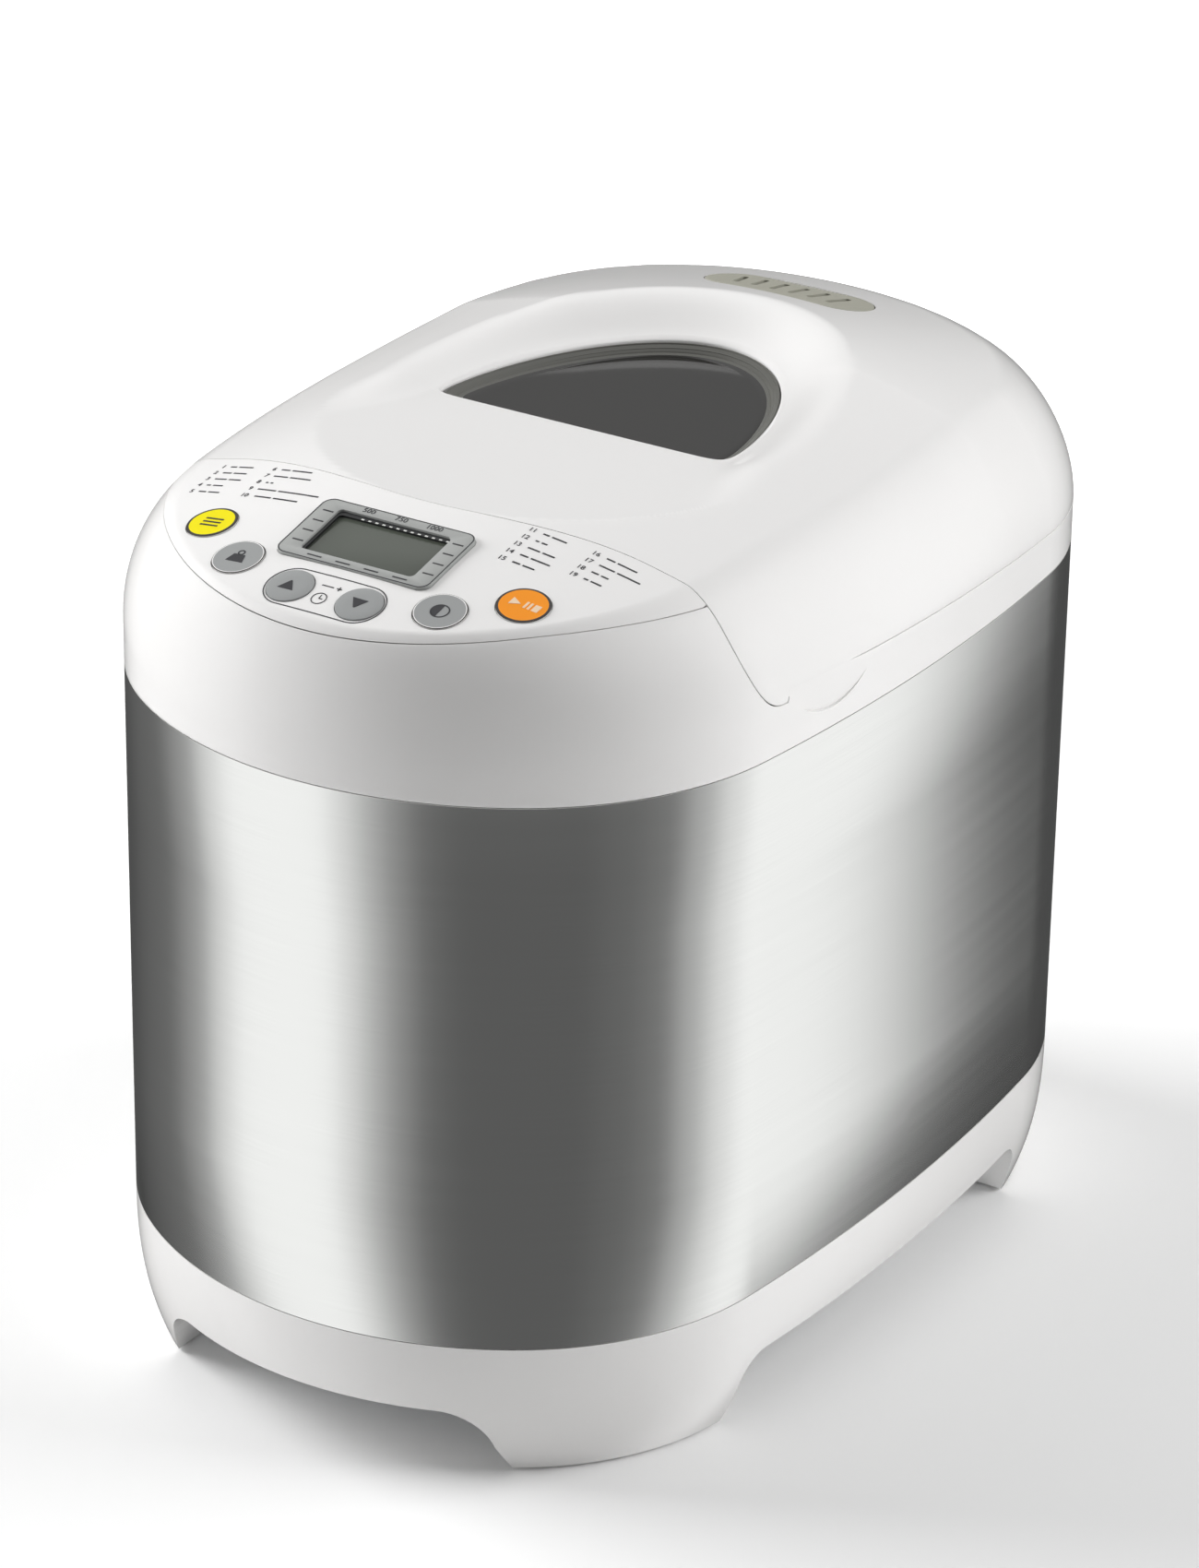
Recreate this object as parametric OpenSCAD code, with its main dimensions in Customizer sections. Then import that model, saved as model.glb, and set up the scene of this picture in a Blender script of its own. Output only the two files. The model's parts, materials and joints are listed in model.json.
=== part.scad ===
// Bread machine: steel-clad cabinet, domed lid with a viewing window, lens-shaped control panel,
// heated chamber, lift-out pan with a kneading paddle, and a belt drive from a motor at the front.
// Millimetres. Origin on the table, in the middle of the footprint. The control panel faces -Y.

/* [Body] */
// Width of the cabinet
body_w = 245; // [238:1:256]
// Depth of the cabinet, front to back
body_d = 376; // [372:1:392]
// How much larger the plan radius of the front and back is than half the width
end_extra = 7.5; // [3.5:0.5:11.5]
// Plan radius of the four corners
corner_r = 101.2; // [98:0.2:104]
// Plan radius of the bowed sides
side_r = 824.3; // [780:1:880]
// Height of the base above the table
base_h = 50; // [46:1:56]
// Height of the steel skin
skin_h = 193; // [193:1:215]
// Thickness of the steel skin
skin_t = 0.8; // [0.6:0.1:1.2]
// Wall of the moulded housings
shell_t = 2.8; // [2.2:0.1:3.4]

/* [Base] */
// Height of the arches between the feet
arch_h = 25; // [20:1:27]
// Half width of the front and back arches at the table
arch_front_half = 68; // [60:1:72]
// Half width of the side arches at the table
arch_side_half = 96; // [88:1:100]
// Corner radius at the top of the arches
arch_r = 16; // [10:1:18]
// How far the feet pull in at the table
foot_inset = 8.5; // [5:0.5:11]

/* [Lid] */
// Height of the crown above the top of the steel
crown_rise = 79.7; // [76:0.5:90]
// Where the crown is highest, behind the middle
crown_y = 55; // [45:1:65]
// Fall of the crown to the front edge
front_fall = 33; // [28:1:36]
// Fall of the crown to the back edge
rear_fall = 24.7; // [20:0.5:28]
// Height of the parting line above the steel, at the middle
seam_rise = 18; // [16:0.5:22]
// Clearance along the parting line
seam_gap = 0.4; // [0.3:0.1:0.8]
// How far the lid opens
lid_open = 85; // [60:1:90]

/* [Window] */
// Half width of the viewing window
window_half = 57; // [50:1:60]
// Length of the viewing window, front to back
window_l = 93; // [84:1:96]
// Height of the window's rim above the steel
window_rise = 65; // [62:0.5:67]
// How far the glass lies below the window's rim
glass_drop = 5; // [3:0.5:6]
// Thickness of the glass
glass_t = 3; // [2:0.5:3]

/* [Panel] */
// Half width of the lens-shaped panel
panel_half = 100; // [96:1:102]
// Radius of the panel's front arc
panel_r = 104; // [103:1:110]
// Thickness of the panel
panel_t = 2; // [1.6:0.1:2.4]
// Diameter of the four single buttons
button_d = 17.4; // [15:0.2:18.6]
// Diameter of the two arrow buttons
arrow_d = 15.6; // [14:0.2:16.8]
// Travel of the buttons
button_travel = 1; // [0.6:0.1:1.2]
// Width of the display frame
display_w = 58; // [52:0.5:59]
// Depth of the display frame
display_d = 31.5; // [29:0.5:33]

/* [Pan] */
// Width of the bread pan, side to side
pan_w = 140; // [132:1:144]
// Length of the bread pan, front to back
pan_l = 168; // [160:1:172]
// Height of the bread pan's walls
pan_h = 117; // [100:1:119]
// Wall of the bread pan
pan_t = 1.6; // [1.2:0.1:2]
// Reach of the carrying bail from its pivot
bail_reach = 66; // [56:1:68]
// Rod radius of the carrying bail
bail_r = 2.2; // [1.8:0.1:2.6]
// How far the pan lifts under the closed lid
pan_lift = 10; // [6:1:11]

/* [Chamber] */
// Space between the pan and the chamber wall
chamber_gap = 16; // [15:0.5:17]
// Thickness of the chamber sheet
chamber_t = 0.8; // [0.6:0.1:1]
// Radius of the heating element
element_r = 3.2; // [2.6:0.1:3.6]

/* [Drive] */
// Radius of the large pulley's rim
pulley_big_r = 44; // [38:1:48]
// Radius of the motor pulley's rim
pulley_small_r = 9; // [8:0.5:11]
// Radius of the drive spindle and of the pan shaft
shaft_r = 4; // [3.5:0.1:4.5]
// Distance between the pulleys
belt_centres = 146; // [144:1:148]

/* [Hidden] */

$fn = 48;
run_fit = 0.05;
seat = 0.15;
cut = 1;
sheet_gap = 0.3;

// ---- plan outline: two end arcs, two bowed sides and four corner arcs, all tangent ----
half_w = body_w / 2;
half_d = body_d / 2;
end_r = half_w + end_extra;
end_cy = half_d - end_r;
side_cx = half_w - side_r;
reach_end = end_r - corner_r;
reach_side = side_r - corner_r;
centre_gap = norm([side_cx, end_cy]);
along = (reach_side * reach_side - reach_end * reach_end + centre_gap * centre_gap) / (2 * centre_gap);
across = sqrt(max(reach_side * reach_side - along * along, 0));
way = [-side_cx, end_cy] / centre_gap;
corner_c = [side_cx, 0] + way * along + [-way[1], way[0]] * across;
side_turn = atan2(corner_c[1], corner_c[0] - side_cx);
end_turn = atan2(corner_c[1] - end_cy, corner_c[0]);

// Angles of the normals round one quarter of the outline
function spread(a, b, n) = [for (i = [0:n - 1]) a + (b - a) * i / n];
quarter = concat(spread(0, side_turn, 4), spread(side_turn, end_turn, 7), spread(end_turn, 90, 5));
turns = concat(quarter, [for (i = [0:len(quarter) - 1]) 180 - (i == 0 ? 90 : quarter[len(quarter) - i])],
    [for (a = quarter) 180 + a],
    [for (i = [0:len(quarter) - 1]) 360 - (i == 0 ? 90 : quarter[len(quarter) - i])]);
function fold(a) = let (b = a % 180) b > 90 ? 180 - b : b;
function quarter_point(b, k) =
    b <= side_turn ? [side_cx, 0] + (side_r - k) * [cos(b), sin(b)]
    : b <= end_turn ? corner_c + (corner_r - k) * [cos(b), sin(b)]
    : [0, end_cy] + (end_r - k) * [cos(b), sin(b)];
// Point of the outline, pulled in by k, where the outline faces angle a
function rim_point(a, k) =
    let (p = quarter_point(fold(a), k))
    [p[0] * (cos(a) < 0 ? -1 : 1), p[1] * (sin(a) < 0 ? -1 : 1)];
function rim(k) = [for (a = turns) rim_point(a, k)];
module plan(k) polygon(rim(k));

// ---- heights ----
skin_top = base_h + skin_h;
crown_z = skin_top + crown_rise;
tall = crown_z + 60;
seam_slope = 0.03;
function seam_z(y) = skin_top + seam_rise - seam_slope * y;
front_power = 2.74;
rear_power = 1.35;
cross_bow = 0.00176;
cross_bow_front = 0.00133;
cross_bow_rear = 0.00113;
round_side = 24;
round_front = 11;
round_rear = 44;
round_power = 1.8;
front_shoulder = 17;

function ease(t) = let (u = min(max(t, 0), 1)) u * u * (3 - 2 * u);
// Height of the crowned top before its edges round over
function crown(x, y) =
    let (f = max((crown_y - y) / (crown_y + half_d), 0))
    let (r = max((y - crown_y) / (half_d - crown_y), 0))
    let (bow = cross_bow - (y < 0 ? cross_bow_front : cross_bow_rear) * pow(y / half_d, 2))
    crown_z - front_fall * pow(f, front_power) - rear_fall * pow(r, rear_power) - bow * x * x;
// The level hollow that holds the window and opens to the lid's front edge
window_y = -23;
window_z = skin_top + window_rise;
glass_bottom = window_z - glass_drop - glass_t;
seal_t = 2.6;
hollow_rise = 0.03;
hollow_flare = 0.43;
hollow_soft = 20;
hollow_bank = 0.28;
hollow_bank_side = 0.1;
hollow_brow = 0.4;
hollow_brow_l = 30;
function hollow_reach(x, ahead) =
    ahead < 0 ? norm([x / window_half, ahead / window_l])
    : abs(x) / (window_half + hollow_flare * ahead * ahead / (ahead + hollow_soft));
// Share of the way up the bank round the hollow: its foot has a slope behind the window's front edge
function bank_share(t, ahead) =
    let (brow = hollow_brow * ease(-ahead / hollow_brow_l))
    let (u = min(max(t, 0), 1))
    brow * u + (1 - brow) * ease(u);
function hollow(x, y) =
    let (ahead = window_y - y)
    let (reach = max(hollow_reach(x, ahead), 0.01))
    let (side = ahead > 0 ? 1 : pow(x / window_half / reach, 2))
    let (up = bank_share((reach - 1) / (hollow_bank + hollow_bank_side * side), ahead))
    let (floor_z = window_z + hollow_rise * max(ahead, 0))
    max(crown(x, y) - floor_z, 0) * (1 - up);
function top_z(x, y) = crown(x, y) - hollow(x, y);
function wall_top(a) =
    seam_z(rim_point(a, 0)[1]) - (sin(a) < 0 ? front_shoulder * sin(a) * sin(a) : 0);
function round_over(a) =
    let (round_end = sin(a) < 0 ? round_front : round_rear)
    round_side * cos(a) * cos(a) + round_end * sin(a) * sin(a);

ring_steps = [0.03, 0.1, 0.22, 0.4, 0.65, 1];
inner_steps = [0.86, 0.72, 0.58, 0.44, 0.3, 0.16];
function edge_ring(t, u) = [for (a = turns)
    let (p = rim_point(a, t + round_over(a) * u))
    let (low = wall_top(a))
    let (share = pow(1 - pow(1 - u, round_power), 1 / round_power))
    [p[0], p[1], low - t + (top_z(p[0], p[1]) - low) * share]];
function core_ring(t, s) = [for (a = turns)
    let (p = rim_point(a, t + round_over(a)) * s)
    [p[0], p[1], top_z(p[0], p[1]) - t]];

// Closed solid from a stack of rings with the same number of points
module stack(rings, tip) {
    n = len(rings[0]);
    m = len(rings);
    points = concat([for (r = rings) each r], [tip]);
    sides = [for (j = [0:m - 2], i = [0:n - 1])
        let (a = j * n + i)
        let (b = j * n + (i + 1) % n)
        each [[a, b + n, b], [a, a + n, b + n]]];
    cap = [for (i = [0:n - 1]) [(m - 1) * n + i, m * n, (m - 1) * n + (i + 1) % n]];
    polyhedron(points = points, faces = concat(sides, cap, [[for (i = [0:n - 1]) i]]), convexity = 6);
}
// Solid under the top surface, pulled in by t, from height z up
module dome(t, z) stack(
    concat([[for (p = rim(t)) [p[0], p[1], z]]], [edge_ring(t, 0)],
        [for (u = ring_steps) edge_ring(t, u)], [for (s = inner_steps) core_ring(t, s)]),
    [0, 0, top_z(0, 0) - t]);

// ---- the lid's front edge and the lens-shaped panel ----
lid_front_y = 80.5 - half_d;
lid_front_wave = 4.5;
lid_front_period = 160;
wave_end = 80;
function lid_edge(x) = lid_front_y - lid_front_wave * cos(360 * x / lid_front_period);
panel_tip_y = lid_front_y + 3.2;
panel_cy = panel_tip_y + sqrt(panel_r * panel_r - panel_half * panel_half);
panel_low_y = panel_cy - panel_r;
lens_n = 28;
lens_rows = 6;
function lens_low(x, g) = panel_cy - sqrt(max(pow(panel_r + g, 2) - x * x, 0));
function lens_up(x, g) = min(lid_edge(x) + g, panel_tip_y + 2 * lid_front_wave);
// Columns [x, front y, back y] of the lens, grown by g
function lens_columns(g) = [for (i = [0:lens_n])
    let (x = (panel_half + 1.2 * g) * sin(90 * (2 * i / lens_n - 1)))
    [x, min(lens_low(x, g), lens_up(x, g) - 0.4), lens_up(x, g)]];
// Columns of an upright oval with round ends
function oval_columns(c, half_x, half_y, n) = [for (i = [0:n])
    let (x = half_x * sin(90 * (2 * i / n - 1)))
    let (over = max(abs(x) - half_x + half_y, 0))
    let (y = max(sqrt(max(half_y * half_y - over * over, 0)), 0.2))
    [c[0] + x, c[1] - y, c[1] + y]];
// Solid that follows the top surface over some columns, from a below it to b above it
module surface_slab(columns, rows, a, b) {
    m = len(columns) - 1;
    c = rows + 1;
    n = (m + 1) * c;
    flat = [for (q = columns, j = [0:rows])
        let (y = q[1] + (q[2] - q[1]) * j / rows)
        [q[0], y, top_z(q[0], y)]];
    low = [for (p = flat) [p[0], p[1], p[2] - a]];
    high = [for (p = flat) [p[0], p[1], p[2] + b]];
    cells = [for (i = [0:m - 1], j = [0:rows - 1]) i * c + j];
    top_faces = [for (k = cells) each
        [[n + k, n + k + c + 1, n + k + c], [n + k, n + k + 1, n + k + c + 1]]];
    low_faces = [for (k = cells) each [[k, k + c, k + c + 1], [k, k + c + 1, k + 1]]];
    front = [for (i = [0:m - 1]) let (k = i * c) each [[k, n + k + c, k + c], [k, n + k, n + k + c]]];
    back = [for (i = [0:m - 1]) let (k = i * c + rows) each [[k, k + c, n + k + c], [k, n + k + c, n + k]]];
    left = [for (k = [0:rows - 1]) each [[k, k + 1, n + k + 1], [k, n + k + 1, n + k]]];
    right = [for (k = [m * c:m * c + rows - 1]) each [[k, n + k + 1, k + 1], [k, n + k, n + k + 1]]];
    polyhedron(points = concat(low, high),
        faces = concat(top_faces, low_faces, front, back, left, right), convexity = 4);
}
// On each side the lid's front corner is a quarter ellipse that ends in a tab below the parting line
corner_y = lid_front_y + 23.5;
corner_tall = 30;
corner_deep = corner_y - lid_edge(wave_end);
corner_x = half_w - 23.5;
corner_n = 9;
tab_drop = 4;
tab_z = seam_z(corner_y) - tab_drop;
tab_end = corner_y + 2;
tab_slant = 1;
behind = half_d + 30;
// Side views [y, z] of the space above the parting line, in the middle and outside corner_x
function middle_view(h) = [[-half_d, seam_z(-half_d) + h], [behind, seam_z(behind) + h],
    [behind, crown_z + 60], [-half_d, crown_z + 60]];
function corner_view(g, h) = concat(
    [for (i = [0:corner_n]) let (a = 90 * i / corner_n)
        [corner_y - (corner_deep - g) * sin(a), tab_z + corner_tall - (corner_tall - g) * cos(a)]],
    [[-half_d, tab_z + corner_tall], [-half_d, crown_z + 60], [behind, crown_z + 60],
        [behind, seam_z(behind) + h], [tab_end + tab_slant - g, seam_z(tab_end) + h],
        [tab_end - g, tab_z + g]]);
module side_view(x, w) rotate([90, 0, 90]) translate([0, 0, x]) linear_extrude(w) children();
// Everything behind the lid's front edge, moved back by g, above the parting line raised by h
module lid_space(g, h) {
    n = 24;
    side = half_w + 10;
    step = 2 * side / n;
    edge = [for (i = [0:n]) let (x = -side + i * step) [x, lid_edge(min(abs(x), wave_end)) + g]];
    intersection() {
        translate([0, 0, skin_top]) linear_extrude(tall)
            polygon(concat(edge, [[side, behind], [-side, behind]]));
        union() {
            side_view(-corner_x, 2 * corner_x) polygon(middle_view(h));
            for (x = [-side, corner_x]) side_view(x, side - corner_x) polygon(corner_view(g, h));
        }
    }
}
// Local frame on the top surface at x, y, with z along the outward normal
function slope(x, y) = [top_z(x + 0.5, y) - top_z(x - 0.5, y), top_z(x, y + 0.5) - top_z(x, y - 0.5)];
module on_top(x, y) {
    s = slope(x, y);
    translate([x, y, top_z(x, y)])
        rotate(a = acos(1 / norm([s[0], s[1], 1])), v = [s[1], -s[0], 0]) children();
}
// Rectangle with exact round corners
module round_rect(w, l, r) {
    square([w - 2 * r, l], center = true);
    square([w, l - 2 * r], center = true);
    for (x = [-1, 1], y = [-1, 1]) translate([x * (w / 2 - r), y * (l / 2 - r)]) circle(r);
}
module round_box(w, l, r, z0, z1) translate([0, 0, z0]) linear_extrude(z1 - z0) round_rect(w, l, r);
module disc(r, z0, z1) translate([0, 0, z0]) cylinder(r = r, h = z1 - z0);

// ---- base ----
base_power = 2.6;
function base_inset(z) = foot_inset * pow(1 - z / base_h, base_power);
base_steps = [0, 0.12, 0.24, 0.4, 0.6, 0.8, 1];
foot_lift = 0.8;
leg_t = 24;
ledge_z = base_h - 20;
ledge_w = 9;
lip_t = 2;
lip_h = 8;
module base_solid(t, z0) stack([for (s = base_steps) let (z = z0 + (base_h - z0) * s)
    [for (p = rim(base_inset(z) + t)) [p[0], p[1], z]]], [0, 0, base_h]);
arch_lean = 3;
module arch(half, r) {
    c = half - arch_lean - r;
    top = arch_h;
    polygon(concat([[-half, -cut], [half, -cut]],
        [for (a = [0:14:84]) [c + r * cos(a), top - r + r * sin(a)]],
        [for (a = [90:14:174]) [-c + r * cos(a), top - r + r * sin(a)]]));
}
foot_at = [67, 52.3];
foot_r = 6;
module feet() for (x = [-1, 1], y = [-1, 1])
    translate([x * (corner_c[0] + foot_at[0]), y * (corner_c[1] + foot_at[1])]) children();
module base_pan() color("white") {
    difference() {
        base_solid(0, foot_lift);
        translate([0, 0, -cut]) linear_extrude(ledge_z - 3 + cut) plan(leg_t);
        translate([0, 0, ledge_z - 4]) linear_extrude(base_h) plan(ledge_w + 3);
        translate([0, 0, ledge_z]) linear_extrude(base_h) plan(3);
        translate([0, half_d + cut, 0]) rotate([90, 0, 0]) linear_extrude(body_d + 2 * cut)
            arch(arch_front_half, arch_r);
        translate([-half_w - cut, 0, 0]) rotate([90, 0, 90]) linear_extrude(body_w + 2 * cut)
            arch(arch_side_half, arch_r - 4);
        feet() disc(foot_r + 0.1, -cut, foot_lift + 2);
    }
    translate([0, 0, base_h - 4]) linear_extrude(4 + lip_h) difference() {
        plan(skin_t + seat);
        plan(skin_t + seat + lip_t + 1);
    }
}
module rubber_feet() color("dimgray") feet() disc(foot_r, 0, foot_lift + 1.9);
plate_t = 1.5;
plate_z = ledge_z + seat;
floor_z = plate_z + plate_t;
plate_hole_r = 12;
slot_pitch = 14;
slot_w = 5;
slot_l = 34;
slots_in = 60;
screw_at = [66, 60];
module chassis_plate() color("silver") translate([0, 0, plate_z]) linear_extrude(plate_t) difference() {
    plan(3.4);
    translate([0, pan_y]) circle(plate_hole_r);
    for (i = [-3:3]) translate([i * slot_pitch, half_d - slots_in]) square([slot_w, slot_l], center = true);
}
module base_screws() color("silver") for (x = [-1, 1], y = [-1, 1])
    translate([x * (corner_c[0] + screw_at[0]), y * (corner_c[1] + screw_at[1]), 0])
        disc(4, floor_z + 0.1, floor_z + 2.6);

// ---- skin and housing ----
module body_skin() color("lightgray") difference() {
    translate([0, 0, base_h + seat]) linear_extrude(skin_h - 2 * seat) difference() {
        plan(0);
        plan(skin_t);
    }
    translate([gland_x, half_d, gland_z]) rotate([90, 0, 0])
        rotate(180 / gland_flats)
            cylinder(r = (gland_r + run_fit) / cos(180 / gland_flats), h = gland_room, $fn = gland_flats);
}
deck_z = skin_top + 7;
deck_t = 2.8;
deck_top = deck_z + deck_t;
grip_y = corner_y + 26;
grip_r = 30;
grip_h = 13;
grip_turn = 6.8;
grip_deep = 6.4;
module chamber_hole() translate([0, pan_y]) round_rect(chamber_w - 4, chamber_l - 4, chamber_r);
module top_housing() color("white") {
    difference() {
        union() {
            difference() {
                dome(0, skin_top);
                dome(shell_t, skin_top - cut);
            }
            intersection() {
                dome(0.3, skin_top);
                surface_slab(lens_columns(3), lens_rows, panel_t + shell_t, 0);
            }
            intersection() {
                dome(0.3, skin_top);
                bulkhead();
            }
        }
        lid_space(0, -0.1);
        surface_slab(lens_columns(0.25), lens_rows, panel_t + sheet_gap, 30);
        for (b = buttons) on_top(b[0], b[1]) disc(b[2] / 2 + 0.5, -12, 12);
        on_top(0, display_y) round_box(display_w - 3, display_d - 3, 3, -14, 12);
        for (x = [-1, 1]) translate([x * half_w, grip_y, seam_z(grip_y) + grip_r - grip_h])
            rotate([0, 90, -x * grip_turn]) cylinder(r = grip_r, h = grip_deep, center = true);
    }
    difference() {
        translate([0, 0, deck_z]) linear_extrude(deck_t) difference() {
            plan(shell_t - 0.3);
            chamber_hole();
        }
        translate([0, -half_d, deck_z - cut]) linear_extrude(20)
            square([body_w, 2 * (half_d + lid_front_y - 12)], center = true);
    }
    translate([0, 0, skin_top - lip_h]) linear_extrude(lip_h + 1) difference() {
        plan(skin_t + seat);
        plan(skin_t + seat + lip_t);
    }
    for (x = [-1, 1], b = board_posts) on_top(0, board_y) translate([x * b[0], b[1], 0])
        disc(2.6, -board_drop + seat, -sink(b[0], board_y + b[1]) - panel_t - 1);
}
bulkhead_t = 3;
module bulkhead() {
    n = 24;
    step = body_w / n;
    front = [for (i = [0:n]) let (x = -half_w + i * step) [x, lid_edge(min(abs(x), wave_end)) - bulkhead_t]];
    back = [for (i = [0:n]) let (x = half_w - i * step) [x, lid_edge(min(abs(x), wave_end)) + 1]];
    translate([0, 0, deck_z]) linear_extrude(100) polygon(concat(front, back));
}

// ---- control panel ----
// Buttons [x, y, diameter], on the slope of the panel
row_y = 21.7 - half_d;
menu_at = [-59.4, row_y + 22, button_d];
weight_at = [-38.4, row_y + 7.2, button_d];
up_at = [-13.1, row_y, arrow_d];
down_at = [13.1, row_y, arrow_d];
colour_at = [38.4, row_y + 7.2, button_d];
start_at = [59.4, row_y + 22, button_d];
buttons = [menu_at, weight_at, up_at, down_at, colour_at, start_at];
display_y = row_y + 27.9;
board_y = row_y + 20.3;
board_drop = 21;
board_posts = [[62, 22], [41, 7]];
switch_h = 3;
module control_panel() color("whitesmoke") difference() {
    surface_slab(lens_columns(0), lens_rows, panel_t, 0);
    for (b = buttons) on_top(b[0], b[1]) disc(b[2] / 2 + 0.3, -12, 12);
    on_top(0, display_y) round_box(display_w + 0.4, display_d + 0.4, 4.2, -12, 12);
}
// How far the surface at x, y lies below the tangent plane at the board's middle
function sink(x, y) = top_z(0, board_y) + slope(0, board_y)[1] * (y - board_y) - top_z(x, y);
flange_z = -panel_t - shell_t - 0.6;
module button(b, tint) color(tint) on_top(b[0], b[1]) {
    disc(b[2] / 2, flange_z - 0.1, 0.3);
    translate([0, 0, 0.3]) cylinder(r1 = b[2] / 2, r2 = b[2] / 2 - 0.5, h = 0.5);
    disc(b[2] / 2 + 1.3, flange_z - 1.1, flange_z);
    disc(2, sink(b[0], b[1]) - board_drop + switch_h + button_travel + 0.4, flange_z - 1);
}
module menu_button() button(menu_at, "yellow");
module weight_button() button(weight_at, "darkgray");
module up_button() button(up_at, "darkgray");
module down_button() button(down_at, "darkgray");
module colour_button() button(colour_at, "darkgray");
module start_button() button(start_at, "orange");
glass_w = 43;
glass_d = 23;
frame_t = 2.4;
module display_frame() color("silver") on_top(0, display_y) difference() {
    union() {
        round_box(display_w, display_d, 4, -panel_t, 0.3);
        round_box(display_w - 3.4, display_d - 3.4, 3, -panel_t - frame_t, -panel_t + 0.1);
    }
    round_box(glass_w, glass_d, 1.5, -20, 5);
}
module display_window() color("gray") on_top(0, display_y)
    round_box(glass_w - 0.2, glass_d - 0.2, 1.4, -1.6, -0.3);
module display_module() color("darkslategray") on_top(0, display_y)
    round_box(glass_w + 6, glass_d + 3, 1, -panel_t - frame_t - 5, -panel_t - frame_t - 0.15);
module board_shape() intersection() {
    square([150, 52], center = true);
    translate([0, panel_cy - board_y]) circle(panel_r - 16);
}
module control_board() color("darkgreen") on_top(0, board_y)
    translate([0, 0, -board_drop - 1.6]) linear_extrude(1.6) board_shape();
module board_switches() color("black") on_top(0, board_y) {
    for (b = buttons) translate([b[0] * 0.97, b[1] - board_y, -board_drop + 0.1]) {
        disc(2.6, 1, switch_h - 0.1);
        translate([-3, -3, 0]) cube([6, 6, 1.1]);
    }
}

// ---- chamber, heater and sensors ----
pan_y = 32;
chamber_w = pan_w + 2 * chamber_gap;
chamber_l = pan_l + 2 * chamber_gap;
chamber_r = 16;
chamber_z = floor_z + 40.35;
chamber_in = chamber_z + chamber_t;
chamber_top = deck_z - seat;
chamber_front = pan_y - chamber_l / 2;
bush_r = 8;
brim = 7;
module oven_chamber() color("silver") translate([0, pan_y, 0]) {
    difference() {
        union() {
            round_box(chamber_w + 2 * chamber_t, chamber_l + 2 * chamber_t, chamber_r + chamber_t,
                chamber_z, chamber_top);
            round_box(chamber_w + 2 * brim, chamber_l + 2 * brim, chamber_r + brim,
                chamber_top - chamber_t, chamber_top);
        }
        round_box(chamber_w, chamber_l, chamber_r, chamber_in, chamber_top + cut);
        disc(bush_r + 0.3, chamber_z - cut, chamber_in + cut);
        for (x = terminal_x) translate([x, -chamber_l / 2 + cut, element_z]) rotate([90, 0, 0])
            cylinder(r = element_r + 0.3, h = 4);
        translate([sensor_x, -chamber_l / 2 + cut, sensor_z]) rotate([90, 0, 0])
            cylinder(r = sensor_r + run_fit, h = 4);
    }
}
element_z = chamber_in + 24;
element_in = 8;
element_w = chamber_w - 2 * element_in;
element_l = chamber_l - 2 * element_in;
element_turn = 22;
terminal_x = [-14, 14];
module tube(p, q, r) {
    d = q - p;
    translate(p) rotate([0, acos(d[2] / norm(d)), atan2(d[1], d[0])]) cylinder(r = r, h = norm(d));
}
module elbow(p, turn, r, a) translate(p) rotate([0, 0, a]) rotate_extrude(angle = 90)
    translate([turn, 0]) circle(r);
module heating_element() color("dimgray") translate([0, pan_y, element_z]) {
    w = element_w / 2;
    l = element_l / 2;
    t = element_turn;
    for (x = [-1, 1]) tube([x * w, -l + t, 0], [x * w, l - t, 0], element_r);
    tube([-w + t, l, 0], [w - t, l, 0], element_r);
    elbow([w - t, l - t, 0], t, element_r, 0);
    elbow([-w + t, l - t, 0], t, element_r, 90);
    elbow([-w + t, -l + t, 0], t, element_r, 180);
    elbow([w - t, -l + t, 0], t, element_r, 270);
    bend = 4;
    for (x = [-1, 1]) {
        tube([x * (w - t), -l, 0], [x * (terminal_x[1] + bend), -l, 0], element_r);
        tube([x * terminal_x[1], -l - bend, 0], [x * terminal_x[1], -l - 20, 0], element_r);
    }
    elbow([terminal_x[1] + bend, -l - bend, 0], bend, element_r, 90);
    elbow([terminal_x[0] - bend, -l - bend, 0], bend, element_r, 0);
}
clip_w = 8;
clip_y = 50;
module element_clips() color("silver") translate([0, pan_y, element_z]) {
    slot = element_r + 0.1;
    for (x = [-1, 1], y = [-1, 1]) translate([x * chamber_w / 2, y * clip_y, 0])
        mirror([x > 0 ? 1 : 0, 0, 0]) difference() {
            translate([seat, -clip_w / 2, -element_r - 1.4])
                cube([element_in + element_r + 1, clip_w, 2 * element_r + 2.8]);
            translate([element_in, 0, 0]) rotate([90, 0, 0])
                cylinder(r = slot, h = clip_w + cut, center = true);
            translate([element_in, -clip_w / 2 - cut, -slot]) cube([20, clip_w + 2 * cut, 2 * slot]);
            translate([seat + 1, -clip_w / 2 - cut, -slot]) cube([element_in, clip_w + 2 * cut, 2 * slot]);
        }
}
module element_terminals() color("wheat") for (x = terminal_x)
    translate([x, chamber_front - chamber_t - seat, element_z]) rotate([90, 0, 0]) difference() {
        union() {
            cylinder(r = 7, h = 3);
            cylinder(r = 5.4, h = 8);
        }
        translate([0, 0, -cut]) cylinder(r = element_r + 0.1, h = 12);
    }
sensor_x = 55;
sensor_z = 150;
sensor_r = 3;
module temperature_sensor() color("silver")
    translate([sensor_x, chamber_front - chamber_t - seat, sensor_z]) rotate([90, 0, 0]) {
        cylinder(r = 7, h = 2);
        cylinder(r = 4.5, h = 7);
        translate([0, 0, -7]) cylinder(r = sensor_r, h = 8);
    }
fuse_at = [-50, 130];
fuse_r = 3;
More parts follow.
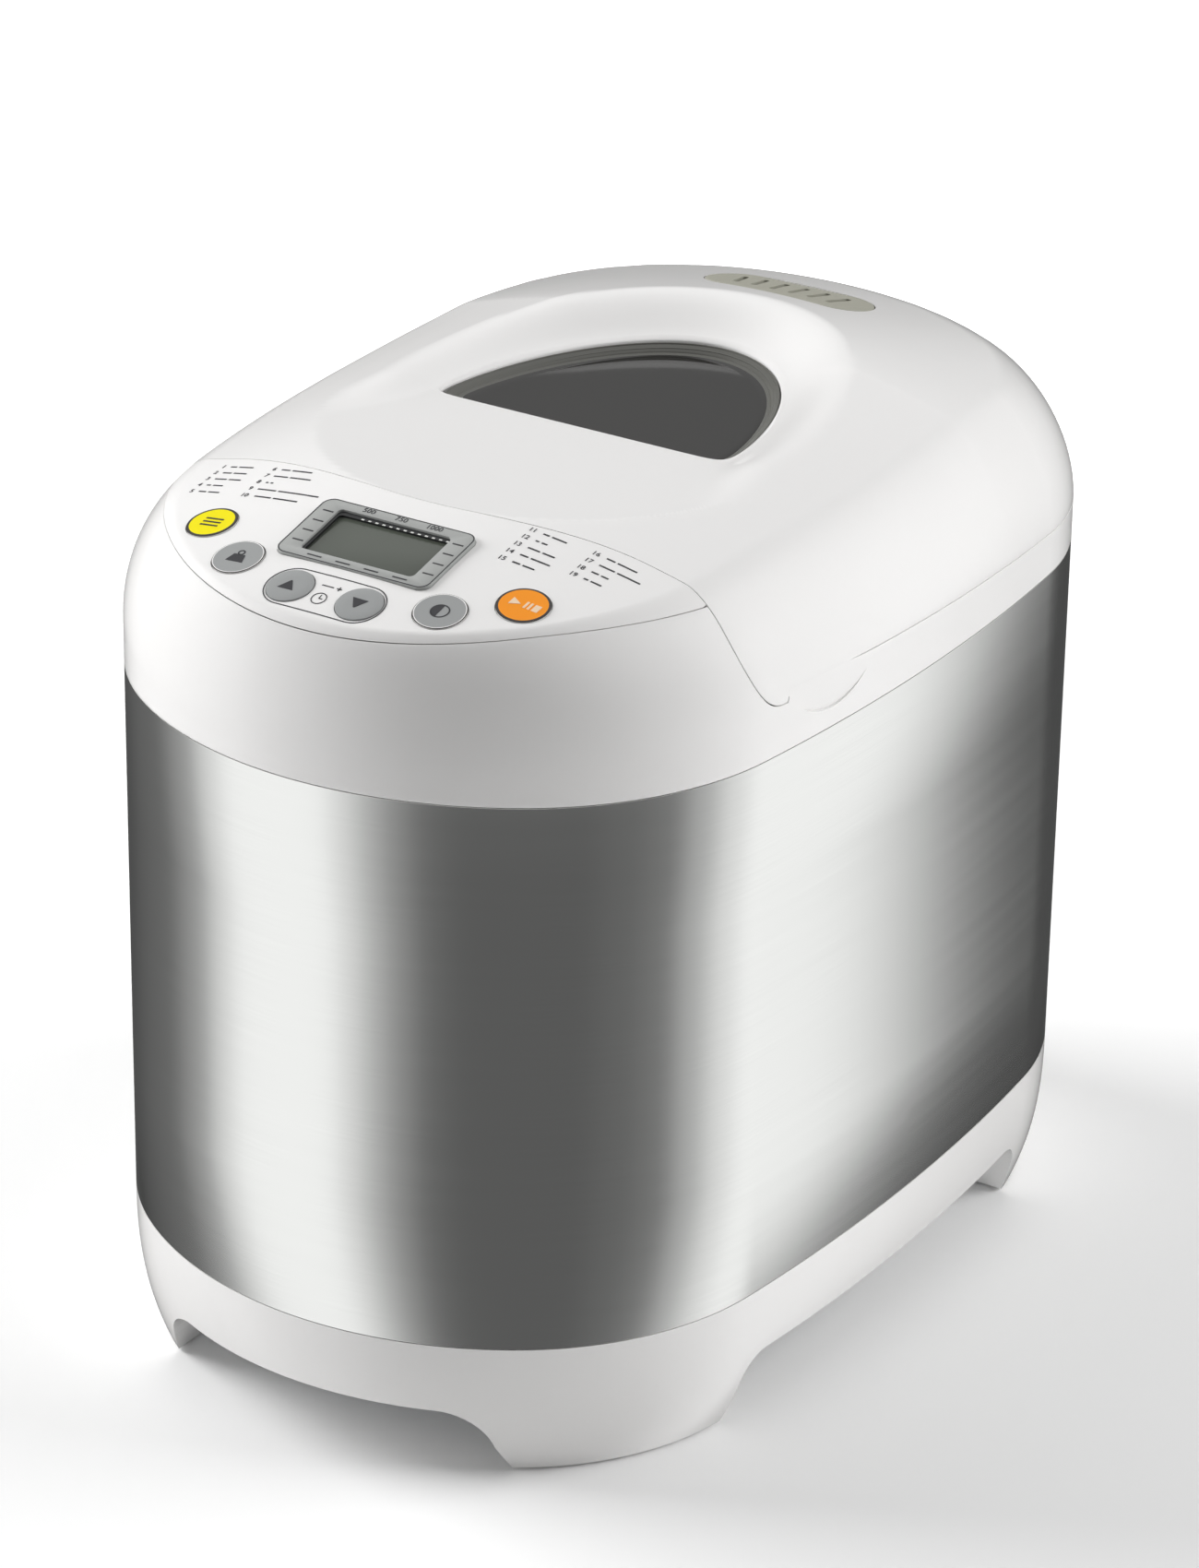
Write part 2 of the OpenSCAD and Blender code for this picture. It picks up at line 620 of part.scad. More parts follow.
module thermal_fuse() color("whitesmoke")
    translate([fuse_at[0], chamber_front - chamber_t - seat - fuse_r, fuse_at[1]]) rotate([0, 90, 0])
        cylinder(r = fuse_r, h = 16, center = true);

// ---- drive ----
belt_z = floor_z + 12;
belt_h = 7;
spindle_top = chamber_in + 12.2;
wall_gap = 0.3;
module bearing_housing() color("gainsboro") translate([0, pan_y, 0]) difference() {
    union() {
        disc(14, chamber_z - 15, chamber_z - seat);
        disc(30, chamber_z - 3.2, chamber_z - seat);
    }
    disc(bush_r + 0.02, 0, chamber_in + cut);
}
module spindle_bush() color("peru") translate([0, pan_y, 0]) difference() {
    disc(bush_r, chamber_z - 15, chamber_in + 1.6);
    disc(shaft_r + run_fit, 0, tall);
}
module drive_spindle() color("silver") translate([0, pan_y, 0]) disc(shaft_r, belt_z - 5, spindle_top);
module rimmed_wheel(r, hub, bore) difference() {
    union() {
        disc(r, belt_z, belt_z + belt_h);
        disc(r + 1.6, belt_z - 1.4, belt_z + 0.01);
        disc(r + 1.6, belt_z + belt_h - 0.01, belt_z + belt_h + 1.4);
        disc(hub, belt_z - 3, belt_z + belt_h + 3);
    }
    disc(bore, 0, tall);
}
module large_pulley() color("dimgray") translate([0, pan_y, 0]) difference() {
    rimmed_wheel(pulley_big_r, 11, shaft_r + 0.01);
    for (a = [0:60:300]) rotate([0, 0, a]) translate([pulley_big_r * 0.58, 0, 0]) disc(8, 0, tall);
}
dog_w = 7;
dog_l = 26;
module drive_coupling() color("silver") translate([0, pan_y, 0]) difference() {
    union() {
        disc(8.5, chamber_in + 1.9, spindle_top - 0.2);
        translate([-dog_l / 2, -dog_w / 2, spindle_top - 5.2]) cube([dog_l, dog_w, 5]);
    }
    disc(shaft_r + 0.01, 0, tall);
}
motor_y = pan_y - belt_centres;
motor_r = 34;
motor_shaft_r = 3;
motor_z = floor_z + 30;
motor_top = motor_z + 88;
module motor_pulley() color("black") translate([0, motor_y, 0]) {
    rimmed_wheel(pulley_small_r, pulley_small_r - 1, 0.5);
    disc(motor_shaft_r, belt_z - 5, motor_z + 10);
}
belt_t = 2;
belt_turn = asin((pulley_big_r - pulley_small_r) / belt_centres);
function belt_points(k) = concat(
    [for (i = [0:36]) let (a = -belt_turn + (180 + 2 * belt_turn) * i / 36)
        [(pulley_big_r + k) * cos(a), pan_y + (pulley_big_r + k) * sin(a)]],
    [for (i = [0:16]) let (a = 180 + belt_turn + (180 - 2 * belt_turn) * i / 16)
        [(pulley_small_r + k) * cos(a), motor_y + (pulley_small_r + k) * sin(a)]]);
module drive_belt() color("black") translate([0, 0, belt_z + wall_gap])
    linear_extrude(belt_h - 2 * wall_gap) difference() {
        polygon(belt_points(wall_gap + belt_t));
        polygon(belt_points(wall_gap));
    }
module motor() color("dimgray") translate([0, motor_y, 0]) difference() {
    union() {
        disc(motor_r, motor_z + 14, motor_top - 12);
        disc(motor_r - 9, motor_z + 6, motor_top - 4);
        disc(11, motor_z, motor_top);
        for (a = [45:90:315]) rotate([0, 0, a]) translate([motor_r - 5, 0, 0])
            disc(3.6, motor_z, motor_z + 15);
    }
    disc(motor_shaft_r + run_fit, motor_z - cut, motor_z + 12);
}
bracket_t = 2;
leg_l = 60;
module motor_bracket() color("silver") translate([0, motor_y, 0]) {
    difference() {
        translate([0, 0, motor_z - bracket_t - seat]) linear_extrude(bracket_t) round_rect(84, 66, 6);
        disc(9, 0, tall);
    }
    for (x = [-1, 1]) translate([x * 38, 0, 0]) {
        translate([-bracket_t / 2, -leg_l / 2, floor_z + seat])
            cube([bracket_t, leg_l, motor_z - bracket_t - floor_z - 2 * seat + 0.1]);
        translate([x > 0 ? -1 : -9, -leg_l / 2, floor_z + seat]) cube([10, leg_l, 1.5]);
    }
}
capacitor_at = [half_w - 50.5, 118 - half_d];
board_at = [50.5 - half_w, 100 - half_d];
capacitor_h = 32;
module motor_capacitor() color("whitesmoke") translate([capacitor_at[0], capacitor_at[1], floor_z + seat]) {
    linear_extrude(capacitor_h) round_rect(24, 40, 3);
    for (y = [-8, 8]) translate([0, y, capacitor_h - 1]) linear_extrude(6) square([2, 5], center = true);
}
module power_board() color("darkgreen") translate([board_at[0], board_at[1], floor_z + seat]) {
    for (x = [-16, 16], y = [-34, 34]) translate([x, y, 0]) cylinder(r = 3, h = 8.1);
    translate([-21, -40, 8]) cube([42, 80, 1.6]);
    translate([-14, -30, 9.5]) cube([26, 30, 24]);
    translate([-12, 8, 9.5]) cube([18, 16, 14]);
    translate([12, 22, 9.5]) cylinder(r = 5, h = 18);
}
gland_x = 62;
gland_z = base_h + 30;
gland_r = 7;
gland_flats = 8;
gland_room = half_d - end_cy;
gland_y = end_cy + sqrt(end_r * end_r - gland_x * gland_x);
module cord_gland() color("black") translate([gland_x, gland_y, gland_z]) rotate([90, 0, 0]) difference() {
    union() {
        translate([0, 0, -6]) cylinder(r = gland_r, h = 18);
        translate([0, 0, 7]) cylinder(r = gland_r + 2.4, h = 2.4);
    }
    translate([0, 0, -20]) cylinder(r = 3.6, h = 40);
}

// ---- lid ----
hinge_y = half_d + 2.9;
hinge_z = seam_z(half_d) + 5;
hinge_r = 2.5;
hinge_pin_r = 1.2;
knuckle_half = 19.4;
knuckle_reach = hinge_r + hinge_y - half_d - seat;
bracket_in = 20;
bracket_out = 34;
module hinge_barrel(x0, x1) translate([x0, hinge_y, hinge_z]) rotate([0, 90, 0])
    cylinder(r = hinge_r, h = x1 - x0);
module hinge_bore() translate([-half_w, hinge_y, hinge_z]) rotate([0, 90, 0])
    cylinder(r = hinge_pin_r + run_fit, h = body_w);
module hinge_brackets() color("white") difference() {
    union() {
        translate([-bracket_out, half_d + seat, skin_top + 2])
            cube([2 * bracket_out, 1.6, seam_z(half_d) - skin_top - 3]);
        for (x = [-1, 1]) {
            hinge_barrel(x < 0 ? -bracket_out : bracket_in, x < 0 ? -bracket_in : bracket_out);
            translate([x < 0 ? -bracket_out : bracket_in, half_d + seat + 0.3, skin_top + 4])
                cube([bracket_out - bracket_in, knuckle_reach - 0.6, hinge_z - skin_top - 4]);
        }
    }
    hinge_bore();
}
module hinge_pins() color("silver") translate([-bracket_out, hinge_y, hinge_z]) rotate([0, 90, 0])
    cylinder(r = hinge_pin_r, h = 2 * bracket_out);
module lid_hinge_arms() color("white") difference() {
    union() {
        hinge_barrel(-knuckle_half, knuckle_half);
        translate([-knuckle_half, half_d + seat, hinge_z - hinge_r + 0.2]) cube([2 * knuckle_half, 1.3, 11]);
        translate([-knuckle_half, half_d + seat, hinge_z - 1.5])
            cube([2 * knuckle_half, hinge_y - half_d - seat, 3]);
    }
    hinge_bore();
}
// Outline of the window, grown by g: straight in front, nearly half an ellipse behind
window_power = 1.1;
module window_shape(g) {
    n = 40;
    polygon([for (i = [0:n]) let (a = 180 * i / n)
        [(window_half + g) * cos(a), window_y - g + (window_l + 2 * g) * pow(sin(a), window_power)]]);
}
vent_c = [-2, 115.7];
vent_half = 32.5;
vent_half_d = 12.1;
vent_pitch = 7.9;
vent_slot = [2.4, 12.5];
vent_fan = 100;
post_x = 91.5;
post_y = [-58, 30, 112];
flange_z0 = deck_top + 3.2;
screw_head_r = 3.4;
module lid_posts(r, z0, z1) for (x = [-1, 1], y = post_y) translate([x * post_x, y, 0]) disc(r, z0, z1);
module lid_shell() color("white") difference() {
    union() {
        intersection() {
            lid_space(seam_gap, seam_gap);
            difference() {
                dome(0, skin_top + 1);
                dome(shell_t, skin_top);
            }
        }
        intersection() {
            dome(0.4, skin_top + 1);
            front_flange();
        }
        intersection() {
            dome(shell_t - 0.4, skin_top);
            lid_posts(3.6, flange_z0 + 1 + seat, tall);
        }
        intersection() {
            dome(1, skin_top);
            translate([0, 0, glass_bottom - seal_t]) linear_extrude(40) window_shape(shell_t);
        }
    }
    translate([0, 0, skin_top]) linear_extrude(tall) window_shape(0);
    surface_slab(oval_columns(vent_c, vent_half + 0.2, vent_half_d + 0.2, 20), 4, 1.5, 20);
    surface_slab(oval_columns(vent_c, vent_half - 2, vent_half_d - 2, 16), 4, 9, 20);
    lid_posts(1.5, flange_z0, flange_z0 + 14);
}
module front_flange() {
    n = 24;
    end = corner_x - seam_gap;
    step = 2 * end / n;
    front = [for (i = [0:n]) let (x = -end + i * step) [x, lid_edge(min(abs(x), wave_end)) + seam_gap]];
    back = [for (i = [0:n])
        let (x = end - i * step)
        [x, lid_edge(min(abs(x), wave_end)) + seam_gap + shell_t]];
    translate([0, 0, seam_z(lid_front_y) + 1.5]) linear_extrude(80) polygon(concat(front, back));
}
liner_w = 164;
liner_l = 184;
liner_y = 30;
liner_r = 22;
liner_t = 0.8;
liner_top = glass_bottom - seal_t - 4;
module lid_liner() color("silver") difference() {
    translate([0, liner_y, 0]) union() {
        round_box(liner_w + 32, liner_l + 24, 30, flange_z0, flange_z0 + 1);
        round_box(liner_w, liner_l, liner_r, flange_z0, liner_top);
    }
    translate([0, liner_y, 0]) round_box(liner_w - 2 * liner_t, liner_l - 2 * liner_t, liner_r - liner_t,
        flange_z0 - cut, liner_top - liner_t);
    translate([0, 0, skin_top]) linear_extrude(tall) window_shape(-7);
    for (i = [-2:2]) translate([i * 10, 112, liner_top - 4]) cylinder(r = 2, h = 8);
    lid_posts(1.7, skin_top, skin_top + 100);
}
seal_wall = 4;
seal_w = 2 * (post_x - screw_head_r - sheet_gap);
seal_l = chamber_l + seal_wall;
module lid_seal() color("lightgray") translate([0, pan_y, 0]) difference() {
    round_box(seal_w, seal_l, chamber_r + seal_wall, deck_top + seat, flange_z0 - seat);
    round_box(seal_w - 2 * seal_wall, seal_l - 2 * seal_wall, chamber_r, 0, tall);
}
module lid_screws() color("silver") {
    lid_posts(screw_head_r, flange_z0 - 2.2, flange_z0 - 0.1);
    lid_posts(1.3, flange_z0 - 0.2, flange_z0 + 12);
}
module window_glass() color("dimgray") translate([0, 0, glass_bottom]) linear_extrude(glass_t)
    window_shape(-0.4);
module window_seal() color("gray") translate([0, 0, glass_bottom - seal_t])
    linear_extrude(seal_t - seat) difference() {
        window_shape(-seat);
        window_shape(-4.5);
    }
module vent_grille() color("tan") difference() {
    surface_slab(oval_columns(vent_c, vent_half, vent_half_d, 20), 4, 1.4, 0.1);
    for (i = [-2.5:1:2.5]) translate([vent_c[0] + i * vent_pitch, vent_c[1], skin_top]) linear_extrude(tall)
        rotate(-atan2(i * vent_pitch, vent_fan)) square(vent_slot, center = true);
}

// ---- pan, paddle and bail ----
pan_r = 26;
pan_foot_z = chamber_in + 0.25;
pan_z = pan_foot_z + 19;
pan_top = pan_z + pan_h;
foot_ring_r = 44;
module pan_socket() color("silver") translate([0, pan_y, chamber_in + seat]) difference() {
    union() {
        cylinder(r = foot_ring_r + 5, h = 7);
        cylinder(r = foot_ring_r + 10, h = 1.2);
    }
    translate([0, 0, -cut]) cylinder(r = foot_ring_r + 0.6, h = 20);
}
rim_w = 4;
ear_h = 8;
ear_w = 14;
pivot_z = pan_top + bail_r + 0.5;
bail_x = pan_w / 2 + bail_r + 0.5;
module bread_pan() color("dimgray") translate([0, pan_y, 0]) difference() {
    union() {
        round_box(pan_w, pan_l, pan_r, pan_z, pan_top);
        round_box(pan_w + 2 * rim_w, pan_l + 2 * rim_w, pan_r + rim_w, pan_top - 1.6, pan_top);
        disc(foot_ring_r, pan_foot_z, pan_z + 0.01);
        for (x = [-1, 1]) translate([x * (pan_w - pan_t) / 2, 0, pan_top - 1])
            linear_extrude(ear_h + 1) square([pan_t, ear_w], center = true);
    }
    round_box(pan_w - 2 * pan_t, pan_l - 2 * pan_t, pan_r - pan_t, pan_z + pan_t, pan_top + 0.001);
    translate([0, 0, pan_top]) linear_extrude(ear_h + cut)
        square([pan_w - 2 * pan_t, pan_l - 2 * pan_t], center = true);
    disc(foot_ring_r - 2, pan_foot_z - cut, pan_z - 0.01);
    disc(bush_r + 0.02, 0, tall);
    translate([-half_w, 0, pivot_z]) rotate([0, 90, 0]) cylinder(r = 1.5 + run_fit, h = body_w);
}
module pan_bush() color("peru") translate([0, pan_y, 0]) difference() {
    union() {
        disc(bush_r, pan_z - 2.4, pan_z + pan_t + 2);
        disc(bush_r + 4, pan_z - 2.4, pan_z - seat);
    }
    disc(shaft_r + run_fit, 0, tall);
}
pan_dog_z = pan_z - 2.7;
module pan_coupling() color("silver") translate([0, pan_y, 0]) difference() {
    union() {
        disc(15, spindle_top + 0.6, pan_dog_z);
        for (y = [-1, 1]) translate([-5, y * 12.2 - 2.3, spindle_top - 4.8]) cube([10, 4.6, 5.5]);
    }
    disc(shaft_r + 0.01, 0, tall);
}
paddle_z = pan_z + pan_t + 3;
module pan_shaft() color("silver") translate([0, pan_y, 0]) disc(shaft_r, spindle_top + 0.8, paddle_z + 26);
module kneading_paddle() color("black") translate([0, pan_y, 0]) difference() {
    union() {
        translate([0, 0, paddle_z]) cylinder(r1 = 10, r2 = 7.5, h = 25);
        hull() {
            translate([4, 0, paddle_z]) cylinder(r = 3, h = 30, $fn = 24);
            translate([40, 0, paddle_z]) cylinder(r = 1.6, h = 4, $fn = 16);
            translate([30, 0, paddle_z + 30]) cylinder(r = 1.6, h = 3, $fn = 16);
        }
    }
    disc(shaft_r + 0.02, 0, tall);
}
module pan_handle() color("silver") translate([0, pan_y, pivot_z]) {
    turn = 12;
    for (x = [-1, 1]) {
        tube([x * (pan_w / 2 - 4), 0, 0], [x * bail_x, 0, 0], 1.5);
        tube([x * bail_x, 0, 0], [x * bail_x, bail_reach - turn, 0], bail_r);
        translate([x * bail_x, 0, 0]) sphere(bail_r);
    }
    tube([-bail_x + turn, bail_reach, 0], [bail_x - turn, bail_reach, 0], bail_r);
    elbow([bail_x - turn, bail_reach - turn, 0], turn, bail_r, 0);
    elbow([-bail_x + turn, bail_reach - turn, 0], turn, bail_r, 90);
}

base_pan();
rubber_feet();
chassis_plate();
body_skin();
top_housing();
control_panel();
display_frame();
display_window();
display_module();
control_board();
board_switches();
menu_button();
weight_button();
up_button();
down_button();
colour_button();
start_button();
oven_chamber();
heating_element();
element_clips();
element_terminals();
temperature_sensor();
thermal_fuse();
bearing_housing();
spindle_bush();
pan_socket();
drive_spindle();
large_pulley();
drive_coupling();
drive_belt();
motor_pulley();
motor();
motor_bracket();
motor_capacitor();
power_board();
cord_gland();
base_screws();
hinge_brackets();
hinge_pins();
lid_shell();
lid_liner();
lid_seal();
lid_hinge_arms();
lid_screws();
window_glass();
window_seal();
vent_grille();
bread_pan();
pan_bush();
pan_shaft();
pan_coupling();
kneading_paddle();
pan_handle();
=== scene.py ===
import json
import math
import bpy
from mathutils import Vector, Matrix

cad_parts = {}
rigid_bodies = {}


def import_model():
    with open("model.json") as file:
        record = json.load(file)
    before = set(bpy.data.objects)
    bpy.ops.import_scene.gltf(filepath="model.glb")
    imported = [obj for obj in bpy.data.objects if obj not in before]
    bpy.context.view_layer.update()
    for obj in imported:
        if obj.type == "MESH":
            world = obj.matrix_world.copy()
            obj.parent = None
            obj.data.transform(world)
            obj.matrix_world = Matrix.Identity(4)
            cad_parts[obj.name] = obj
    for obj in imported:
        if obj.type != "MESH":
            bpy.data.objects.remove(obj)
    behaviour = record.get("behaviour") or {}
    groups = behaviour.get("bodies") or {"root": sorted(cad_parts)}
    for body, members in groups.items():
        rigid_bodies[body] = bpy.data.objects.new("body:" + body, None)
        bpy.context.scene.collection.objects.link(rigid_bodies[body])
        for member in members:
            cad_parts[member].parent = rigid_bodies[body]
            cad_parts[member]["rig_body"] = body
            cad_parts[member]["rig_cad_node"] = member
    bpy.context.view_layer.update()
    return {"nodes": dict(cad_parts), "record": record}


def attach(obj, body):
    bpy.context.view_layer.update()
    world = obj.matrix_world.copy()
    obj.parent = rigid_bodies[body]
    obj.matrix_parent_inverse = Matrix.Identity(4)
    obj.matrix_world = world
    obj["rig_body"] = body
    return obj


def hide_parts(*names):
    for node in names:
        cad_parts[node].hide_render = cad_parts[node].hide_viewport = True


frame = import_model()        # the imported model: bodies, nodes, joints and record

# Sizes below are millimetres and become metres where a mesh is placed.
mm = 0.001
halfTurn = math.pi
quarterTurn = math.pi / 2

cabinet = {
    "width": 245, "depth": 376,
    "endRadius": 130, "cornerRadius": 101.2, "sideRadius": 824.3,
    "baseHeight": 50, "skinHeight": 193, "skinThickness": 0.8,
}
crownShape = {
    "rise": 79.7, "highY": 55, "frontFall": 33, "rearFall": 24.7,
    "frontPower": 2.74, "rearPower": 1.35,
    "bow": 0.00176, "bowFront": 0.00133, "bowRear": 0.00113,
    "seamRise": 18, "seamSlope": 0.03, "frontShoulder": 17,
    "roundSide": 24, "roundFront": 11, "roundRear": 44, "roundPower": 1.8,
}
windowShape = {
    "half": 57, "length": 93, "frontY": -23, "rise": 65, "power": 1.1,
    "floorRise": 0.03, "flare": 0.43, "flareSoftness": 20,
    "bank": 0.28, "bankSide": 0.1, "brow": 0.4, "browLength": 30,
    "cornerSoftness": 3, "rollFront": 1.3, "rollRear": 3.2, "rollDrop": 1.1,
    "glassFrontZ": 304.2, "glassRearZ": 303.4,
}

halfWidth = cabinet["width"] / 2
halfDepth = cabinet["depth"] / 2
skinTop = cabinet["baseHeight"] + cabinet["skinHeight"]
crownTop = skinTop + crownShape["rise"]
windowZ = skinTop + windowShape["rise"]
endCentre = halfDepth - cabinet["endRadius"]
sideCentre = halfWidth - cabinet["sideRadius"]


def cornerCentre():
    # the corner arc is tangent to a side arc and an end arc
    reachEnd = cabinet["endRadius"] - cabinet["cornerRadius"]
    reachSide = cabinet["sideRadius"] - cabinet["cornerRadius"]
    gap = math.hypot(sideCentre, endCentre)
    along = (reachSide ** 2 - reachEnd ** 2 + gap ** 2) / (2 * gap)
    across = math.sqrt(max(reachSide ** 2 - along ** 2, 0))
    wayX, wayY = -sideCentre / gap, endCentre / gap
    return sideCentre + wayX * along - wayY * across, wayY * along + wayX * across


cornerX, cornerY = cornerCentre()
sideTurn = math.atan2(cornerY, cornerX - sideCentre)
endTurn = math.atan2(cornerY - endCentre, cornerX)


def outlinePoint(angle, inset):
    # point of the plan outline, pulled in by inset, where the outline faces angle
    turn = angle % halfTurn
    if turn > quarterTurn:
        turn = halfTurn - turn
    if turn <= sideTurn:
        cx, cy, radius = sideCentre, 0, cabinet["sideRadius"]
    elif turn <= endTurn:
        cx, cy, radius = cornerX, cornerY, cabinet["cornerRadius"]
    else:
        cx, cy, radius = 0, endCentre, cabinet["endRadius"]
    x = cx + (radius - inset) * math.cos(turn)
    y = cy + (radius - inset) * math.sin(turn)
    return math.copysign(x, math.cos(angle)), math.copysign(y, math.sin(angle))


def outlineAngle(length):
    # angle that the outline faces after that length from the +X side, going towards +Y
    side = cabinet["sideRadius"] * sideTurn
    corner = cabinet["cornerRadius"] * (endTurn - sideTurn)
    end = cabinet["endRadius"] * (quarterTurn - endTurn)
    quarter = side + corner + end
    count, rest = divmod(length, quarter)
    if count % 2:
        rest = quarter - rest
    if rest <= side:
        turn = rest / cabinet["sideRadius"]
    elif rest <= side + corner:
        turn = sideTurn + (rest - side) / cabinet["cornerRadius"]
    else:
        turn = endTurn + (rest - side - corner) / cabinet["endRadius"]
    return [turn, halfTurn - turn, halfTurn + turn, 2 * halfTurn - turn][int(count) % 4]


outlineLength = 4 * (cabinet["sideRadius"] * sideTurn
                     + cabinet["cornerRadius"] * (endTurn - sideTurn)
                     + cabinet["endRadius"] * (quarterTurn - endTurn))


def outlineStep(i, count, inset):
    # the i-th of count even steps round the outline, pulled in by inset
    return outlinePoint(outlineAngle(outlineLength * (i % count) / count), inset)


def outlinePlace(x, y):
    # the angle and inset at which the outline passes through a point
    ax, ay = abs(x), abs(y)
    turn = math.atan2(ay, ax - sideCentre)
    inset = cabinet["sideRadius"] - math.hypot(ax - sideCentre, ay)
    if turn > sideTurn:
        turn = math.atan2(ay - cornerY, ax - cornerX)
        inset = cabinet["cornerRadius"] - math.hypot(ax - cornerX, ay - cornerY)
        if turn > endTurn:
            turn = math.atan2(ay - endCentre, ax)
            inset = cabinet["endRadius"] - math.hypot(ax, ay - endCentre)
    if x < 0:
        turn = halfTurn - turn
    return (-turn if y < 0 else turn), inset


def ease(share):
    share = min(max(share, 0), 1)
    return share * share * (3 - 2 * share)


def seamHeight(y):
    return skinTop + crownShape["seamRise"] - crownShape["seamSlope"] * y


def crownHeight(x, y):
    high = crownShape["highY"]
    front = max((high - y) / (high + halfDepth), 0)
    rear = max((y - high) / (halfDepth - high), 0)
    flatter = crownShape["bowFront"] if y < 0 else crownShape["bowRear"]
    bow = crownShape["bow"] - flatter * (y / halfDepth) ** 2
    fall = crownShape["frontFall"] * front ** crownShape["frontPower"]
    return crownTop - fall - crownShape["rearFall"] * rear ** crownShape["rearPower"] - bow * x * x


def hollowReach(x, ahead):
    if ahead < 0:
        return math.hypot(x / windowShape["half"], ahead / windowShape["length"])
    flare = windowShape["flare"] * ahead * ahead / (ahead + windowShape["flareSoftness"])
    return abs(x) / (windowShape["half"] + flare)


def topHeight(x, y):
    # the crowned top, with the level hollow that holds the window
    ahead = windowShape["frontY"] - y
    crown = crownHeight(x, y)
    floor = windowZ + windowShape["floorRise"] * max(ahead, 0)
    reach = max(hollowReach(x, ahead), 0.01)
    side = 1 if ahead > 0 else (x / windowShape["half"] / reach) ** 2
    share = min(max((reach - 1) / (windowShape["bank"] + windowShape["bankSide"] * side), 0), 1)
    # behind the window's front edge the foot of the bank has a slope, which makes the brow
    brow = windowShape["brow"] * ease(-ahead / windowShape["browLength"])
    return crown - max(crown - floor, 0) * (1 - brow * share - (1 - brow) * ease(share))


def wallTop(angle, y):
    # where the upright wall ends and the edge starts to round over
    s = math.sin(angle)
    return seamHeight(y) - (crownShape["frontShoulder"] * s * s if s < 0 else 0)


def roundOver(angle):
    c, s = math.cos(angle), math.sin(angle)
    end = crownShape["roundFront"] if s < 0 else crownShape["roundRear"]
    return crownShape["roundSide"] * c * c + end * s * s


def heightAt(x, y):
    # height of the outer surface over any point of the plan
    angle, inset = outlinePlace(x, y)
    reach = roundOver(angle)
    if inset >= reach:
        return topHeight(x, y)
    low = wallTop(angle, outlinePoint(angle, 0)[1])
    power = crownShape["roundPower"]
    share = (1 - (1 - max(inset, 0) / reach) ** power) ** (1 / power)
    return low + (topHeight(x, y) - low) * share


def slopeAt(x, y):
    step = 0.5
    return ((heightAt(x + step, y) - heightAt(x - step, y)) / (2 * step),
            (heightAt(x, y + step) - heightAt(x, y - step)) / (2 * step))


def solve(test, low, high):
    # the value between low and high at which a rising test turns positive
    for _ in range(40):
        middle = (low + high) / 2
        if test(middle) > 0:
            high = middle
        else:
            low = middle
    return (low + high) / 2


def resample(points, count):
    # the same path in equal steps of its length
    lengths = [0.0]
    for a, b in zip(points, points[1:]):
        lengths.append(lengths[-1] + math.dist(a, b))
    result, k = [], 0
    for i in range(count + 1):
        want = lengths[-1] * i / count
        while k < len(points) - 2 and lengths[k + 1] < want:
            k += 1
        span = lengths[k + 1] - lengths[k]
        share = (want - lengths[k]) / span if span > 1e-12 else 0
        result.append(tuple(p + (q - p) * share for p, q in zip(points[k], points[k + 1])))
    return result


# the bench tools: everything is made with these
def clearSelection():
    if bpy.context.mode != "OBJECT":
        bpy.ops.object.mode_set(mode="OBJECT")
    bpy.ops.object.select_all(action="DESELECT")


def named(name):
    piece = bpy.context.active_object
    piece.name = name
    piece.data.name = name
    return piece


def activate(piece):
    clearSelection()
    piece.select_set(True)
    bpy.context.view_layer.objects.active = piece


def editAll(piece, *steps):
    # runs edit-mode steps on the whole mesh
    activate(piece)
    bpy.ops.object.mode_set(mode="EDIT")
    bpy.ops.mesh.select_all(action="SELECT")
    for step in steps:
        step()
    bpy.ops.object.mode_set(mode="OBJECT")


def mergeDoubles():
    bpy.ops.mesh.remove_doubles(threshold=0.00002)


def outward():
    bpy.ops.mesh.normals_make_consistent(inside=False)


def extrudeBy(x, y, z):
    # an edit step that extrudes what is selected by that many millimetres
    way = {"value": (x * mm, y * mm, z * mm)}
    return lambda: bpy.ops.mesh.extrude_region_move(TRANSFORM_OT_translate=way)


def sheetOver(name, across, along, place, outwardFrom, uvSize=(1, 1)):
    # a grid whose points are laid over a surface; place(i, j) is in millimetres
    clearSelection()
    bpy.ops.mesh.primitive_grid_add(x_subdivisions=across, y_subdivisions=along, size=1)
    piece = named(name)
    uv = piece.data.uv_layers.active or piece.data.uv_layers.new(name="UVMap")
    for loop in piece.data.loops:
        co = piece.data.vertices[loop.vertex_index].co
        uv.data[loop.index].uv = ((co.x + 0.5) * uvSize[0] * mm, (co.y + 0.5) * uvSize[1] * mm)
    for vertex in piece.data.vertices:
        i = round((vertex.co.x + 0.5) * across)
        j = round((vertex.co.y + 0.5) * along)
        vertex.co = Vector(place(i, j)) * mm
    editAll(piece, mergeDoubles)
    centre = Vector(outwardFrom) * mm
    facing = sum((f.center - centre).dot(f.normal) * f.area for f in piece.data.polygons)
    if facing < 0:
        editAll(piece, bpy.ops.mesh.flip_normals)
    return piece


def roundedRect(width, depth, radius, steps=8):
    # points round a rectangle with round corners, counter-clockwise
    points = []
    for cx, cy, start in ((1, 1, 0), (-1, 1, 90), (-1, -1, 180), (1, -1, 270)):
        for k in range(steps + 1):
            turn = math.radians(start + 90 * k / steps)
            points.append((cx * (width / 2 - radius) + radius * math.cos(turn),
                           cy * (depth / 2 - radius) + radius * math.sin(turn)))
    return points


